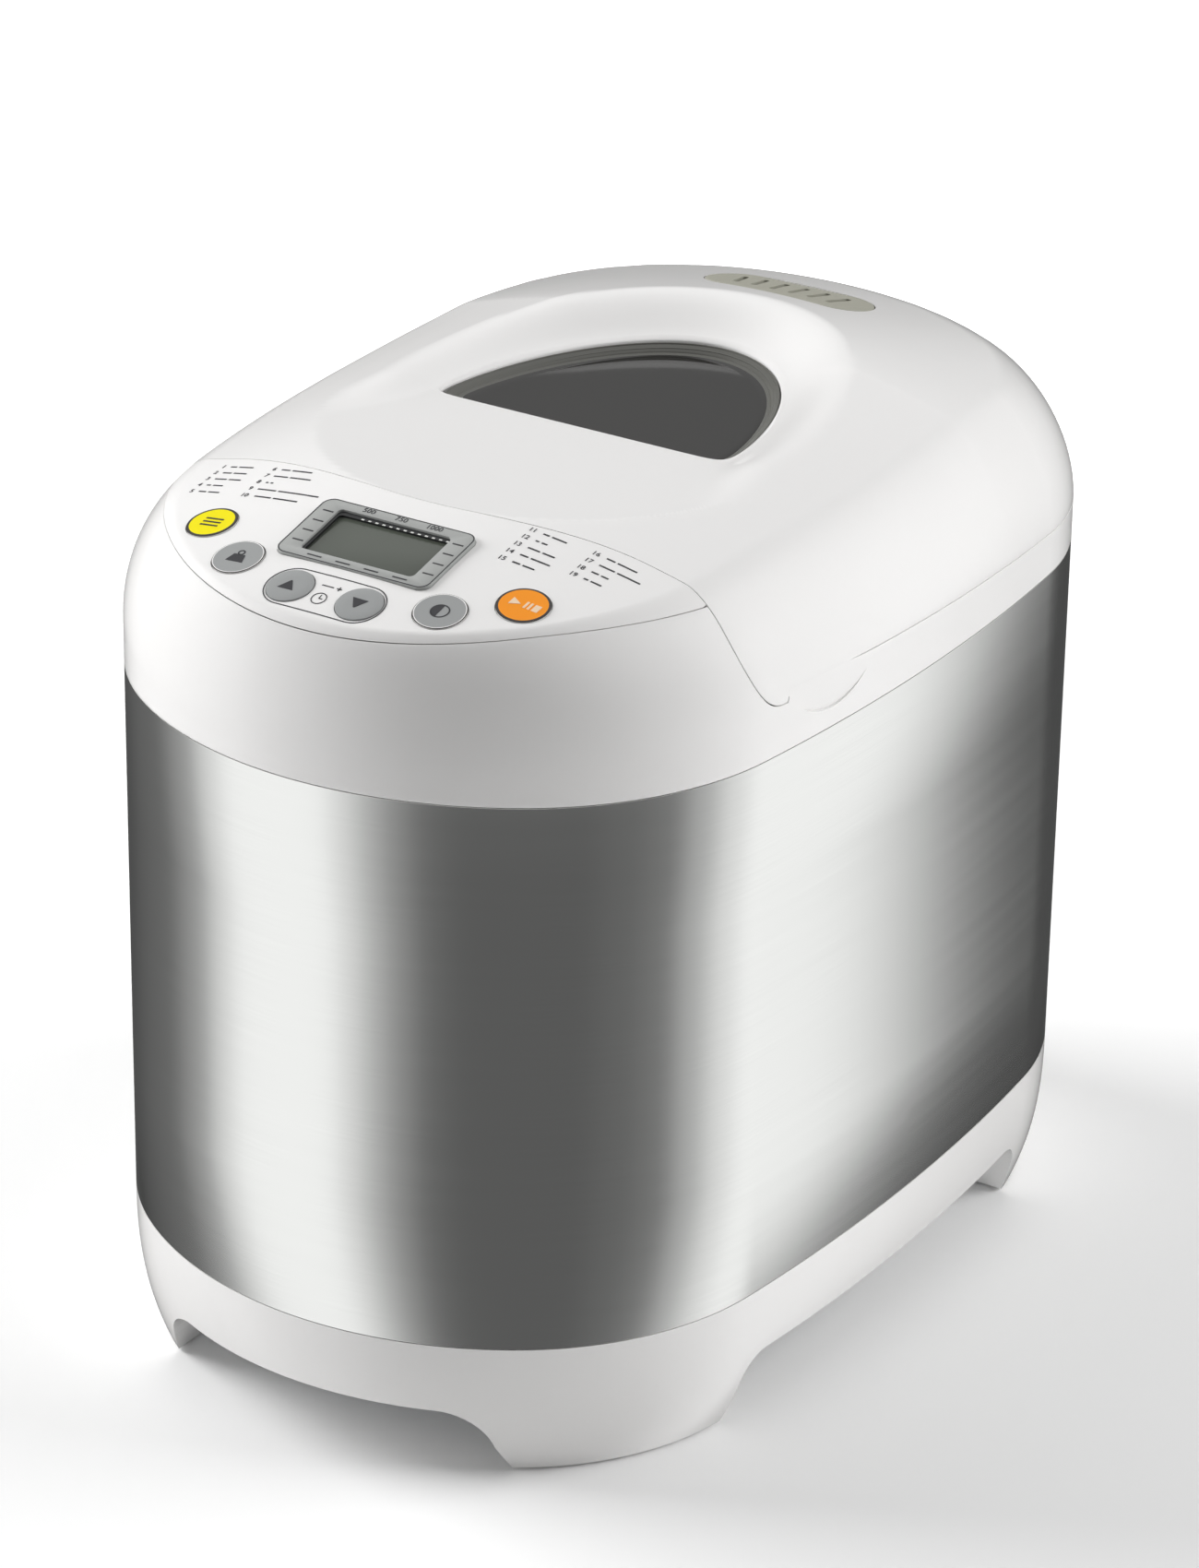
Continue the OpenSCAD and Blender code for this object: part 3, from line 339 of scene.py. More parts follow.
def prism(name, outline, low, high):
    # a closed prism on a plan outline, extruded up
    clearSelection()
    bpy.ops.mesh.primitive_circle_add(vertices=len(outline), radius=1, fill_type="NGON")
    piece = named(name)
    for vertex, (x, y) in zip(piece.data.vertices, outline):
        vertex.co = Vector((x, y, low)) * mm
    editAll(piece,
            extrudeBy(0, 0, high - low),
            lambda: bpy.ops.mesh.select_all(action="SELECT"), outward)
    return piece


def modify(piece, kind, **settings):
    # adds a modifier, sets it and applies it
    activate(piece)
    modifier = piece.modifiers.new(kind.title(), kind)
    for key, value in settings.items():
        setattr(modifier, key, value)
    bpy.ops.object.modifier_apply(modifier=modifier.name)
    return piece


def thicken(piece, thickness):
    return modify(piece, "SOLIDIFY", thickness=thickness * mm, offset=-1, use_even_offset=True)


def softenEdges(piece, width, segments=3, angle=40):
    return modify(piece, "BEVEL", width=width * mm, segments=segments, limit_method="ANGLE",
                  angle_limit=math.radians(angle), harden_normals=False, miter_outer="MITER_ARC")


def smooth(piece, angle=38):
    activate(piece)
    bpy.ops.object.shade_smooth_by_angle(angle=math.radians(angle))
    return piece


def cut(piece, *cutters):
    for cutter in cutters:
        modify(piece, "BOOLEAN", operation="DIFFERENCE", solver="EXACT", object=cutter)
        bpy.data.objects.remove(cutter)
    return piece


def join(name, *pieces):
    activate(pieces[0])
    for piece in pieces:
        piece.select_set(True)
    bpy.ops.object.join()
    return named(name)


def lathe(name, profile, segments):
    # a profile of (radius, z) points spun round Z, in millimetres
    clearSelection()
    bpy.ops.mesh.primitive_plane_add(size=1)
    piece = named(name)
    mesh = piece.data
    mesh.clear_geometry()
    points = [(r * mm, 0, z * mm) for r, z in profile]
    mesh.from_pydata(points, [(i, i + 1) for i in range(len(points) - 1)], [])
    editAll(piece,
            lambda: bpy.ops.mesh.spin(steps=segments, angle=2 * halfTurn, center=(0, 0, 0), axis=(0, 0, 1)),
            mergeDoubles)
    editAll(piece, outward)
    return piece


def settle(piece, matrix=None):
    # moves the place into the mesh, so that the object stays at the origin
    if matrix is not None:
        piece.data.transform(matrix)
    activate(piece)
    bpy.ops.object.transform_apply(location=True, rotation=True, scale=True)
    piece.data.update()
    return piece


def onTop(x, y, lift=0):
    # frame on the outer surface, with z along its outward normal, in metres
    sx, sy = slopeAt(x, y)
    up = Vector((-sx, -sy, 1)).normalized()
    side = Vector((1, 0, sx)).normalized()
    side = (side - up * side.dot(up)).normalized()
    back = up.cross(side)
    place = Vector((x, y, heightAt(x, y))) + up * lift
    turn = Matrix((side, back, up)).transposed().to_4x4()
    return Matrix.Translation(place * mm) @ turn


def crownNormals(piece, limit=14):
    # faces on the outer surface take the surface's own normals, so cuts in it leave no ripple
    mesh = piece.data
    normals = [Vector(corner.vector) for corner in mesh.corner_normals]
    least = math.cos(math.radians(limit))
    cache = {}
    for face in mesh.polygons:
        for index in face.loop_indices:
            v = mesh.loops[index].vertex_index
            if v not in cache:
                p = mesh.vertices[v].co / mm
                inset = outlinePlace(p.x, p.y)[1]
                cache[v] = None
                if inset > 2.5 and abs(p.z - heightAt(p.x, p.y)) < 0.12:
                    sx, sy = slopeAt(p.x, p.y)
                    cache[v] = Vector((-sx, -sy, 1)).normalized()
            if cache[v] is not None and cache[v].dot(face.normal) > least:
                normals[index] = cache[v]
    mesh.normals_split_custom_set(normals)
    return piece


def outfit(piece, material, body, *nodes):
    # gives a finished piece its material, the body it rides on and the nodes it stands for
    piece.data.materials.clear()
    piece.data.materials.append(material)
    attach(piece, body)
    if nodes:
        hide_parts(*nodes)
    return piece


# camera, floor and light
studio = {
    "azimuth": 32.42, "elevation": 24.82, "roll": 0.88, "distance": 1931.9, "lens": 129.37,
    "target": (-3.55, 0, 168.15),
    "floorColour": "#FFFFFF", "glowNear": 0.0, "glowFar": 1.0, "clearRadius": (0.45, 1.3), "skyLevel": 0.16,
}


def linear(hexColour):
    # sRGB hex to linear
    parts = [int(hexColour[i:i + 2], 16) / 255 for i in (1, 3, 5)]
    return tuple(c / 12.92 if c <= 0.04045 else ((c + 0.055) / 1.055) ** 2.4 for c in parts) + (1,)


def addNode(tree, kind, inputs=None, **settings):
    # one node with its settings; an input is a value or another node's output
    node = tree.nodes.new(kind)
    for key, value in settings.items():
        setattr(node, key, value)
    for key, value in (inputs or {}).items():
        if isinstance(value, bpy.types.NodeSocket):
            tree.links.new(value, node.inputs[key])
        else:
            node.inputs[key].default_value = value
    return node


def newTree(owner):
    owner.use_nodes = True
    owner.node_tree.nodes.clear()
    return owner.node_tree


def buildStudio():
    az, el = math.radians(studio["azimuth"]), math.radians(studio["elevation"])
    back = Vector((math.sin(az) * math.cos(el), -math.cos(az) * math.cos(el), math.sin(el)))
    right = Vector((math.cos(az), math.sin(az), 0))
    up = back.cross(right)
    roll = math.radians(studio["roll"])
    rolledRight = right * math.cos(roll) + up * math.sin(roll)
    rolledUp = up * math.cos(roll) - right * math.sin(roll)
    place = (Vector(studio["target"]) + back * studio["distance"]) * mm
    data = bpy.data.cameras.new("viewCamera")
    data.lens = studio["lens"]
    data.sensor_width = 36
    data.clip_end = 50
    camera = bpy.data.objects.new("viewCamera", data)
    turned = Matrix((rolledRight, rolledUp, back)).transposed().to_4x4()
    camera.matrix_world = Matrix.Translation(place) @ turned
    bpy.context.scene.collection.objects.link(camera)
    bpy.context.scene.camera = camera

    clearSelection()
    bpy.ops.mesh.primitive_plane_add(size=24)
    floor = named("studioFloor")
    material = bpy.data.materials.new("matt white backdrop paper")
    tree = newTree(material)
    path = addNode(tree, "ShaderNodeLightPath")
    paper = addNode(tree, "ShaderNodeBsdfDiffuse", {"Color": linear(studio["floorColour"])})
    # the paper glows more the further it lies from the machine, so that it fades to white
    coord = addNode(tree, "ShaderNodeTexCoord")
    reach = addNode(tree, "ShaderNodeVectorMath", {0: coord.outputs["Object"]}, operation="LENGTH")
    fade = addNode(tree, "ShaderNodeMapRange", {
        "Value": reach.outputs["Value"],
        "From Min": studio["clearRadius"][0], "From Max": studio["clearRadius"][1],
        "To Min": studio["glowNear"], "To Max": studio["glowFar"]}, interpolation_type="SMOOTHSTEP")
    glow = addNode(tree, "ShaderNodeEmission",
                   {"Color": linear(studio["floorColour"]), "Strength": fade.outputs[0]})
    seen = addNode(tree, "ShaderNodeAddShader", {0: paper.outputs[0], 1: glow.outputs[0]})
    mix = addNode(tree, "ShaderNodeMixShader",
                  {0: path.outputs["Is Camera Ray"], 1: paper.outputs[0], 2: seen.outputs[0]})
    addNode(tree, "ShaderNodeOutputMaterial", {"Surface": mix.outputs[0]})
    floor.data.materials.append(material)
    floor.visible_glossy = False

    world = bpy.data.worlds.new("studioSurround")
    bpy.context.scene.world = world
    tree = newTree(world)
    path = addNode(tree, "ShaderNodeLightPath")
    coord = addNode(tree, "ShaderNodeTexCoord")
    axes = addNode(tree, "ShaderNodeSeparateXYZ", {0: coord.outputs["Generated"]})
    bearing = addNode(tree, "ShaderNodeMath",
                      {0: axes.outputs["X"], 1: axes.outputs["Y"]}, operation="ARCTAN2")
    share = addNode(tree, "ShaderNodeMapRange",
                    {"Value": bearing.outputs[0], "From Min": -halfTurn, "From Max": halfTurn})
    bands = addNode(tree, "ShaderNodeValToRGB", {"Fac": share.outputs[0]})
    ramp = bands.color_ramp
    ramp.interpolation = "EASE"
    for stop, level in studioBands:
        place = (stop + 180) / 360
        element = ramp.elements.new(place) if 0 < place < 1 else ramp.elements[0 if place <= 0 else -1]
        element.color = (level, level, level, 1)
    lift = addNode(tree, "ShaderNodeMapRange",
                   {"Value": axes.outputs["Z"], "From Min": 0.15, "From Max": 0.7})
    overhead = addNode(tree, "ShaderNodeMix",
                       {0: lift.outputs[0], 6: bands.outputs[0], 7: (1, 1, 1, 1)}, data_type="RGBA")
    soft = addNode(tree, "ShaderNodeBackground", {"Color": (1, 1, 1, 1), "Strength": studio["skyLevel"]})
    mirrored = addNode(tree, "ShaderNodeBackground", {"Color": overhead.outputs[2], "Strength": 1})
    white = addNode(tree, "ShaderNodeBackground", {"Color": (1, 1, 1, 1), "Strength": 1})
    glossy = addNode(tree, "ShaderNodeMixShader",
                     {0: path.outputs["Is Glossy Ray"], 1: soft.outputs[0], 2: mirrored.outputs[0]})
    seen = addNode(tree, "ShaderNodeMixShader",
                   {0: path.outputs["Is Camera Ray"], 1: glossy.outputs[0], 2: white.outputs[0]})
    addNode(tree, "ShaderNodeOutputWorld", {"Surface": seen.outputs[0]})

    for name, spot, size, watts in softBoxes:
        lamp = bpy.data.lights.new(name, "AREA")
        lamp.shape = "RECTANGLE"
        lamp.size, lamp.size_y = size
        lamp.energy = watts
        box = bpy.data.objects.new(name, lamp)
        box.visible_glossy = False
        aim = Vector((0, 0, 0.16)) - Vector(spot)
        box.matrix_world = Matrix.Translation(spot) @ aim.to_track_quat("-Z", "Y").to_matrix().to_4x4()
        bpy.context.scene.collection.objects.link(box)
    settings = bpy.context.scene.view_settings
    settings.view_transform = "Standard"
    print("studio ready")


# level of the surround by bearing, in degrees: 0 is behind the machine, 90 to its right, 180 in front
studioBands = [
    (-180, 0.3), (-173, 0.5), (-165, 0.82), (-157, 1.1), (-128, 1.1), (-118, 0.8), (-108, 0.36), (-90, 0.15),
    (-52, 0.08), (8, 0.07), (19, 0.11), (25, 0.3), (31, 0.75), (37, 1.1), (50, 1.1), (64, 0.85), (78, 0.48),
    (92, 0.2), (108, 0.15), (125, 0.12), (160, 0.12), (171, 0.15), (180, 0.3),
]
# name, place, size and watts
softBoxes = [
    ("overheadBox", (0.1, 0.2, 1.9), (1.6, 1.6), 8),
    ("leftBox", (-1.98, -0.44, 1.0), (1.4, 1.4), 62),
    ("rightBox", (1.68, 1.07, 1.08), (1.4, 1.4), 33),
]


# materials
def principled(name, colour, roughness, pattern=None, **sockets):
    # a named finish; pattern(tree, coordinates) may return outputs for Base Color, Roughness and Normal
    material = bpy.data.materials.new(name)
    tree = newTree(material)
    coord = addNode(tree, "ShaderNodeTexCoord")
    shader = addNode(tree, "ShaderNodeBsdfPrincipled",
                     {"Base Color": linear(colour), "Roughness": roughness})
    for key, value in sockets.items():
        shader.inputs[key.replace("_", " ")].default_value = value
    if pattern:
        for key, value in pattern(tree, coord, linear(colour), roughness).items():
            tree.links.new(value, shader.inputs[key])
    addNode(tree, "ShaderNodeOutputMaterial", {"Surface": shader.outputs[0]})
    material.diffuse_color = linear(colour)
    return material


def spread(tree, value, low, high):
    # turns a 0 to 1 value into one between low and high
    return addNode(tree, "ShaderNodeMapRange", {"Value": value, "To Min": low, "To Max": high}).outputs[0]


def tinted(tree, value, colour, depth):
    # the colour, darkened by up to depth where value is low
    dark = tuple(c * (1 - depth) for c in colour[:3]) + (1,)
    return addNode(tree, "ShaderNodeMix", {0: value, 6: dark, 7: colour}, data_type="RGBA").outputs[2]


def noiseOn(tree, coordinates, size, detail=2, scale=(1, 1, 1)):
    # noise with features of about size millimetres
    mapping = addNode(tree, "ShaderNodeMapping", {"Vector": coordinates, "Scale": scale})
    noise = addNode(tree, "ShaderNodeTexNoise",
                    {"Vector": mapping.outputs[0], "Scale": 1 / (size * mm), "Detail": detail})
    return noise.outputs[0]


def relief(tree, value, depth):
    bump = addNode(tree, "ShaderNodeBump", {"Height": value, "Distance": depth * mm, "Strength": 1})
    return bump.outputs[0]


def mouldedGloss(waveSize=9, waveDepth=0.012, patchSize=40, shift=0.015):
    # polished-mould plastic: slow waves in the gloss, faint patches in the tone
    def pattern(tree, coord, colour, roughness):
        wave = noiseOn(tree, coord.outputs["Object"], waveSize, 1)
        patch = noiseOn(tree, coord.outputs["Object"], patchSize, 3)
        return {"Base Color": tinted(tree, patch, colour, shift),
                "Roughness": spread(tree, patch, roughness * 0.85, roughness * 1.15),
                "Normal": relief(tree, wave, waveDepth)}
    return pattern


def grained(grainSize, grainDepth, shift=0.08):
    # a fine even grain, as on spark-eroded moulds, cast metal and coatings
    def pattern(tree, coord, colour, roughness):
        grain = noiseOn(tree, coord.outputs["Object"], grainSize, 4)
        patch = noiseOn(tree, coord.outputs["Object"], grainSize * 25, 2)
        return {"Base Color": tinted(tree, patch, colour, shift),
                "Roughness": spread(tree, grain, roughness * 0.8, roughness * 1.2),
                "Normal": relief(tree, grain, grainDepth)}
    return pattern


def brushed(lineGap, lineLength, depth, shift=0.06):
    # lines along U, lineGap apart and lineLength long; U and V are metres
    def pattern(tree, coord, colour, roughness):
        lines = noiseOn(tree, coord.outputs["UV"], 1, 3, (1 / lineLength, 1 / lineGap, 1))
        broad = noiseOn(tree, coord.outputs["UV"], 1, 2, (1 / (lineLength * 4), 1 / (lineGap * 9), 1))
        both = addNode(tree, "ShaderNodeMath", {0: lines, 1: broad}, operation="MULTIPLY").outputs[0]
        return {"Base Color": tinted(tree, spread(tree, lines, 0, 1), colour, shift),
                "Roughness": spread(tree, broad, roughness * 0.85, roughness * 1.15),
                "Normal": relief(tree, both, depth)}
    return pattern


finishes = {
    # gloss white ABS, moulded in a polished tool: clean reflections on a slightly warm white
    "whiteAbs": principled("gloss white ABS moulded", "#F2F1F0", 0.14, mouldedGloss(), IOR=1.53,
                           Coat_Weight=0.25, Coat_Roughness=0.05),
    # the panel is the same ABS under a clear printed film: flatter and a touch cooler
    "panelFilm": principled("clear film over white ABS", "#F4F3F2", 0.2, mouldedGloss(14, 0.006), IOR=1.5),
    # stainless sheet brushed round the cabinet: soft upright bands, fine level lines
    "brushedSteel": principled("stainless steel sheet brushed", "#EAEBE9", 0.22, brushed(0.55, 60, 0.006),
                               Metallic=1.0, Anisotropic=0.55, Anisotropic_Rotation=0.25),
    # zinc-plated or drawn sheet inside: greyer, softer
    "platedSteel": principled("zinc plated steel drawn", "#B9BCBE", 0.34,
                              grained(0.8, 0.01, 0.12), Metallic=1.0),
    # turned pins, screws and shafts: brighter, with an even gloss
    "turnedSteel": principled("bright steel turned", "#C9CACC", 0.2,
                              grained(0.5, 0.004, 0.05), Metallic=1.0),
    # die castings: a dull pale metal with a light pebble
    "castAluminium": principled("aluminium die cast", "#A9ABAC", 0.42,
                                grained(0.9, 0.03, 0.1), Metallic=1.0),
    # the heater has been hot: brown-grey and uneven
    "elementSteel": principled("heater sheath oxidised", "#4A4642", 0.5,
                               grained(1.2, 0.02, 0.25), Metallic=1.0),
    # sprayed coating: dark, softly speckled, a broad dull shine
    "nonStick": principled("aluminium with non-stick coat sprayed", "#3A3B3D", 0.38,
                           grained(0.45, 0.02, 0.15), Metallic=0.35),
    # pressed bronze powder: warm and matt
    "sinteredBronze": principled("bronze sintered", "#A98250", 0.5, grained(0.6, 0.02, 0.15), Metallic=1.0),
    # silicone: a pale matt grey
    "greyRubber": principled("silicone rubber pressed", "#B9B9B4", 0.55, grained(0.8, 0.02, 0.05)),
    # the window's seal: a darker matt grey
    "darkSeal": principled("grey seal rubber extruded", "#5C5C59", 0.5, grained(0.8, 0.02, 0.05)),
    # feet, belt and cord gland: black, with hardly any shine
    "blackRubber": principled("black rubber moulded", "#1B1B1B", 0.65, grained(0.7, 0.03, 0.2)),
    # nylon parts: black with a soft shine
    "blackPlastic": principled("black nylon moulded", "#202122", 0.42, grained(0.7, 0.015, 0.15)),
    # enamelled motor case: a dark satin grey
    "motorEnamel": principled("motor case enamelled", "#4B4D50", 0.36, grained(1.0, 0.02, 0.1)),
    # fired steatite at the heater: cream and chalky
    "whiteCeramic": principled("steatite fired", "#DDD6C6", 0.6, grained(0.6, 0.02, 0.06)),
    # lacquered boards: green with a clear gloss
    "greenBoard": principled("circuit board lacquered", "#1E5A33", 0.3, grained(1.5, 0.01, 0.2)),
    # the printed bezel: a flat light grey
    "greyInk": principled("display bezel satin grey print", "#A8AAA8", 0.34, grained(0.5, 0.004, 0.03)),
    # satin key caps: mid grey, without hard reflections
    "keyGrey": principled("key cap grey ABS satin", "#9B9D9D", 0.34, grained(0.6, 0.008, 0.03)),
    # the two coloured caps shine less, so that their colour stays full
    "keyYellow": principled("key cap yellow ABS satin", "#F4E600", 0.36, grained(0.6, 0.008, 0.02),
                            Specular_IOR_Level=0.2),
    "keyOrange": principled("key cap orange ABS satin", "#FF9C26", 0.36, grained(0.6, 0.008, 0.02),
                            Specular_IOR_Level=0.2),
    # screen prints: flat colour, nearly matt
    "keyRing": principled("dark brown screen print", "#2B2725", 0.4, grained(0.4, 0.002, 0.05)),
    "blackInk": principled("black screen print", "#26262A", 0.4, grained(0.4, 0.002, 0.05)),
    "whiteInk": principled("white screen print", "#E6E7E4", 0.4, grained(0.4, 0.002, 0.03)),
    "orangeInk": principled("pale screen print", "#F7D9B8", 0.4, grained(0.4, 0.002, 0.03)),
    # taupe ABS with a light spark grain
    "taupeAbs": principled("taupe ABS grained", "#A5A498", 0.42, grained(0.6, 0.02, 0.05)),
    # smoked acrylic: nearly black inside, a clean gloss outside
    "smokedGlass": principled("smoked acrylic polished", "#232220", 0.07,
                              mouldedGloss(22, 0.004, 60, 0.05), IOR=1.49, Transmission_Weight=0.1),
    # the same moulding's border, frosted: grey where it faces the light
    "smokedBand": principled("smoked acrylic frosted", "#5A5A55", 0.3, grained(0.5, 0.006, 0.06), IOR=1.49),
    # the display at rest: a grey-green pane with a soft gloss
    "displayGlass": principled("liquid crystal glass", "#50554D", 0.16, grained(0.5, 0.001, 0.04), IOR=1.5),
}
print("finishes ready:", len(finishes))


# steel skin
def buildSkin():
    columns, rows = 480, 4
    low, high = cabinet["baseHeight"] + 0.15, skinTop - 0.15

    def place(i, j):
        x, y = outlineStep(i, columns, 0)
        return x, y, low + (high - low) * j / rows
    skin = sheetOver("steelSkin", columns, rows, place, (0, 0, 150), (outlineLength, high - low))
    thicken(skin, cabinet["skinThickness"])
    softenEdges(skin, 0.3, 2)
    smooth(skin)
    outfit(skin, finishes["brushedSteel"], "cabinet", "body_skin")
    print("skin ready")


# base
baseShape = {
    "footInset": 8.5, "power": 2.6, "footLift": 0.8, "legDepth": 24,
    "archHeight": 25, "frontHalf": 68, "sideHalf": 96, "archRadius": 16, "sideArchRadius": 12,
    "edge": 0.9,
}


def archProfile(half, radius):
    # flat top, a round shoulder, then straight down to the table
    top = baseShape["archHeight"]
    steps = 10
    shoulder = [(half - 3 - radius + radius * math.sin(math.radians(a * 84 / steps)),
                 top - radius + radius * math.cos(math.radians(a * 84 / steps))) for a in range(steps + 1)]
    return shoulder + [(half + 0.6, -1)]


def archCutter(name, half, radius, length, turn):
    right = archProfile(half, radius)
    outline = right + [(-x, z) for x, z in reversed(right)]
    clearSelection()
    bpy.ops.mesh.primitive_plane_add(size=1)
    cutter = named(name)
    cutter.data.clear_geometry()
    points = [(x * mm, -length / 2 * mm, z * mm) for x, z in outline]
    cutter.data.from_pydata(points, [], [tuple(range(len(points)))])
    editAll(cutter, extrudeBy(0, length, 0),
            lambda: bpy.ops.mesh.select_all(action="SELECT"), outward)
    return settle(cutter, Matrix.Rotation(turn, 4, "Z"))


def footPrism(name, inset, low, high):
    # upright prism inside the outline
    columns = 240
    return prism(name, [outlineStep(i, columns, inset) for i in range(columns)], low, high)


def buildBase():
    columns, rows = 400, 16
    low, high = baseShape["footLift"], cabinet["baseHeight"]

    def place(i, j):
        z = low + (high - low) * j / rows
        inset = baseShape["footInset"] * (1 - z / high) ** baseShape["power"]
        return outlineStep(i, columns, inset) + (z,)
    base = sheetOver("baseMoulding", columns, rows, place, (0, 0, 30), (outlineLength, high))
    editAll(base, lambda: bpy.ops.mesh.select_all(action="DESELECT"),
            lambda: bpy.ops.mesh.select_non_manifold(), lambda: bpy.ops.mesh.edge_face_add())
    editAll(base, outward)
    cut(base,
        footPrism("legRoom", baseShape["legDepth"], -2, 27),
        footPrism("baseRoom", 12, 26, high + 2),
        archCutter("frontArch", baseShape["frontHalf"], baseShape["archRadius"], cabinet["depth"] + 20, 0),
        archCutter("sideArch", baseShape["sideHalf"], baseShape["sideArchRadius"],
                   cabinet["width"] + 20, quarterTurn))
    smooth(base, 32)
    outfit(base, finishes["whiteAbs"], "cabinet", "base_pan")
    print("base ready")


# lid
lidShape = {
    "frontY": -107.5, "wave": 4.5, "period": 160, "waveEnd": 80, "gap": 0.4, "thickness": 2.6,
    "columns": 600, "rows": 46, "edge": 0.7,
    # at the corner the edge sweeps down a quarter ellipse to a short tab below the parting line
    "cornerY": -84, "cornerTall": 30, "tabDrop": 4, "tabLength": 2, "tabSlant": 1,
}


def lidEdge(x):
    way = 2 * halfTurn * min(abs(x), lidShape["waveEnd"]) / lidShape["period"]
    return lidShape["frontY"] - lidShape["wave"] * math.cos(way)


cornerDeep = lidShape["cornerY"] - lidEdge(lidShape["waveEnd"])
tabZ = seamHeight(lidShape["cornerY"]) - lidShape["tabDrop"]
tabEnd = lidShape["cornerY"] + lidShape["tabLength"]


def lidLow(y, gap):
    # lowest height of the lid's side, raised by gap: the ellipse, the tab, then the parting line
    ahead = lidShape["cornerY"] - y
    if ahead > cornerDeep - gap:
        return tabZ + lidShape["cornerTall"]
    if ahead > 0:
        share = ahead / (cornerDeep - gap)
        return tabZ + lidShape["cornerTall"] - (lidShape["cornerTall"] - gap) * math.sqrt(1 - share * share)
    share = min(max((y - tabEnd + gap) / lidShape["tabSlant"], 0), 1)
    return tabZ + gap + (seamHeight(y) - tabZ) * share


def sidePoint(y, z):
    # point of the right side's outer surface at that depth and height
    turn = solve(lambda a: outlinePoint(a, 0)[1] - abs(y), 0, quarterTurn)
    edge = outlinePoint(turn, 0)[0]
    if z <= wallTop(-turn, y):
        return edge, y, z
    inset = solve(lambda k: heightAt(edge - k, y) - z, 0, 40)
    return edge - inset, y, z


def windowShare(x, y):
    # about how far a point lies inside the window's outline, with its front corners rounded
    behind = max(y - windowShape["frontY"], 0.01)
    up = (behind / windowShape["length"]) ** (1 / windowShape["power"])
    across = x / windowShape["half"]
    reach = max(math.hypot(across, up), 0.01)
    steep = math.hypot(across / windowShape["half"], up * up / (windowShape["power"] * behind)) / reach
    a, b = (1 - reach) / steep, y - windowShape["frontY"]
    k = windowShape["cornerSoftness"]
    least = min(a, b)
    return least - k * math.log(math.exp(-(a - least) / k) + math.exp(-(b - least) / k))


windowMiddle = (0, 8)


def windowPoint(wayX, wayY, grow):
    # where a ray from the middle of the window crosses its outline, grown by grow
    cx, cy = windowMiddle
    far = solve(lambda r: -windowShare(cx + wayX * r, cy + wayY * r) - grow, 5, 130)
    return cx + wayX * far, cy + wayY * far


def rollAt(y):
    share = ease((y - windowShape["frontY"]) / windowShape["browLength"])
    return windowShape["rollFront"] + (windowShape["rollRear"] - windowShape["rollFront"]) * share


def lidOutline():
    # the lid's edge: along the parting line round the back, then down and up each corner
    gap = lidShape["gap"]

    def seamPoint(angle):
        def over(inset):
            x, y = outlinePoint(angle, inset)
            return heightAt(x, y) - seamHeight(y) - gap
        inset = solve(over, 0.00001, 12)
        x, y = outlinePoint(angle, inset)
        return x, y, heightAt(x, y)
    seamEnd = tabEnd + lidShape["tabSlant"] - gap
    corner = solve(lambda a: seamEnd - seamPoint(-a)[1], 0.05, 0.9)
    steps = 900
    seam = [seamPoint(-corner + (halfTurn + 2 * corner) * i / steps) for i in range(steps + 1)]
    slant = [seam[0], sidePoint(tabEnd - gap, tabZ + gap)]
    tabRun = lidShape["cornerY"] - tabEnd + gap
    tab = [sidePoint(tabEnd - gap + tabRun * i / 8, tabZ + gap) for i in range(9)]
    tall = lidShape["cornerTall"]
    sweep = []
    for i in range(121):
        turn = quarterTurn * i / 120
        sweep.append(sidePoint(lidShape["cornerY"] - (cornerDeep - gap) * math.sin(turn),
                               tabZ + tall - (tall - gap) * math.cos(turn)))
    endX = sweep[-1][0]
    front = []
    for i in range(steps + 1):
        x = endX * (2 * i / steps - 1)
        y = lidEdge(x) + gap
        front.append((x, y, heightAt(x, y)))
    stretches = [seam]
    stretches += [[(-x, y, z) for x, y, z in stretch] for stretch in (slant, tab, sweep)]
    stretches += [front, sweep[::-1], tab[::-1], slant[::-1]]
    lengths = [sum(math.dist(a, b) for a, b in zip(stretch, stretch[1:])) for stretch in stretches]
    points = []
    for stretch, length in zip(stretches, lengths):
        count = max(round(lidShape["columns"] * length / sum(lengths)), 2)
        points += resample(stretch, count)[:-1]
    return points


def buildLid():
    cx, cy = windowMiddle
    paths = []
    for x, y, z in lidOutline():
        reach = math.hypot(x - cx, y - cy)
        wayX, wayY = (x - cx) / reach, (y - cy) / reach
        roll = rollAt(windowPoint(wayX, wayY, 0)[1])
        wx, wy = windowPoint(wayX, wayY, roll)
        path = []
        for k in range(161):
            share = (k / 160) ** 2.2
            px, py = x + (wx - x) * share, y + (wy - y) * share
            path.append((px, py, z if k == 0 else heightAt(px, py)))
        path = resample(path, lidShape["rows"])
        # round the rim over and run down the wall of the well
        for turn in (15, 30, 45, 60, 75, 90):
            t = math.radians(turn)
            px, py = windowPoint(wayX, wayY, roll * (1 - math.sin(t)))
            path.append((px, py, heightAt(px, py) - windowShape["rollDrop"] * (1 - math.cos(t))))
        px, py, high = path[-1]
        for drop in (2.5, 5, 8):
            path.append((px, py, high - drop))
        paths.append(path)
    columns, rows = len(paths), len(paths[0]) - 1
    lid = sheetOver("lidShell", columns, rows, lambda i, j: paths[i % columns][j], (0, 20, 200))
    thicken(lid, lidShape["thickness"])
    softenEdges(lid, lidShape["edge"], 3, 50)
    smooth(lid)
    outfit(lid, finishes["whiteAbs"], "lid", "lid_shell")
    print("lid ready:", len(lid.data.polygons), "faces")
    return lid


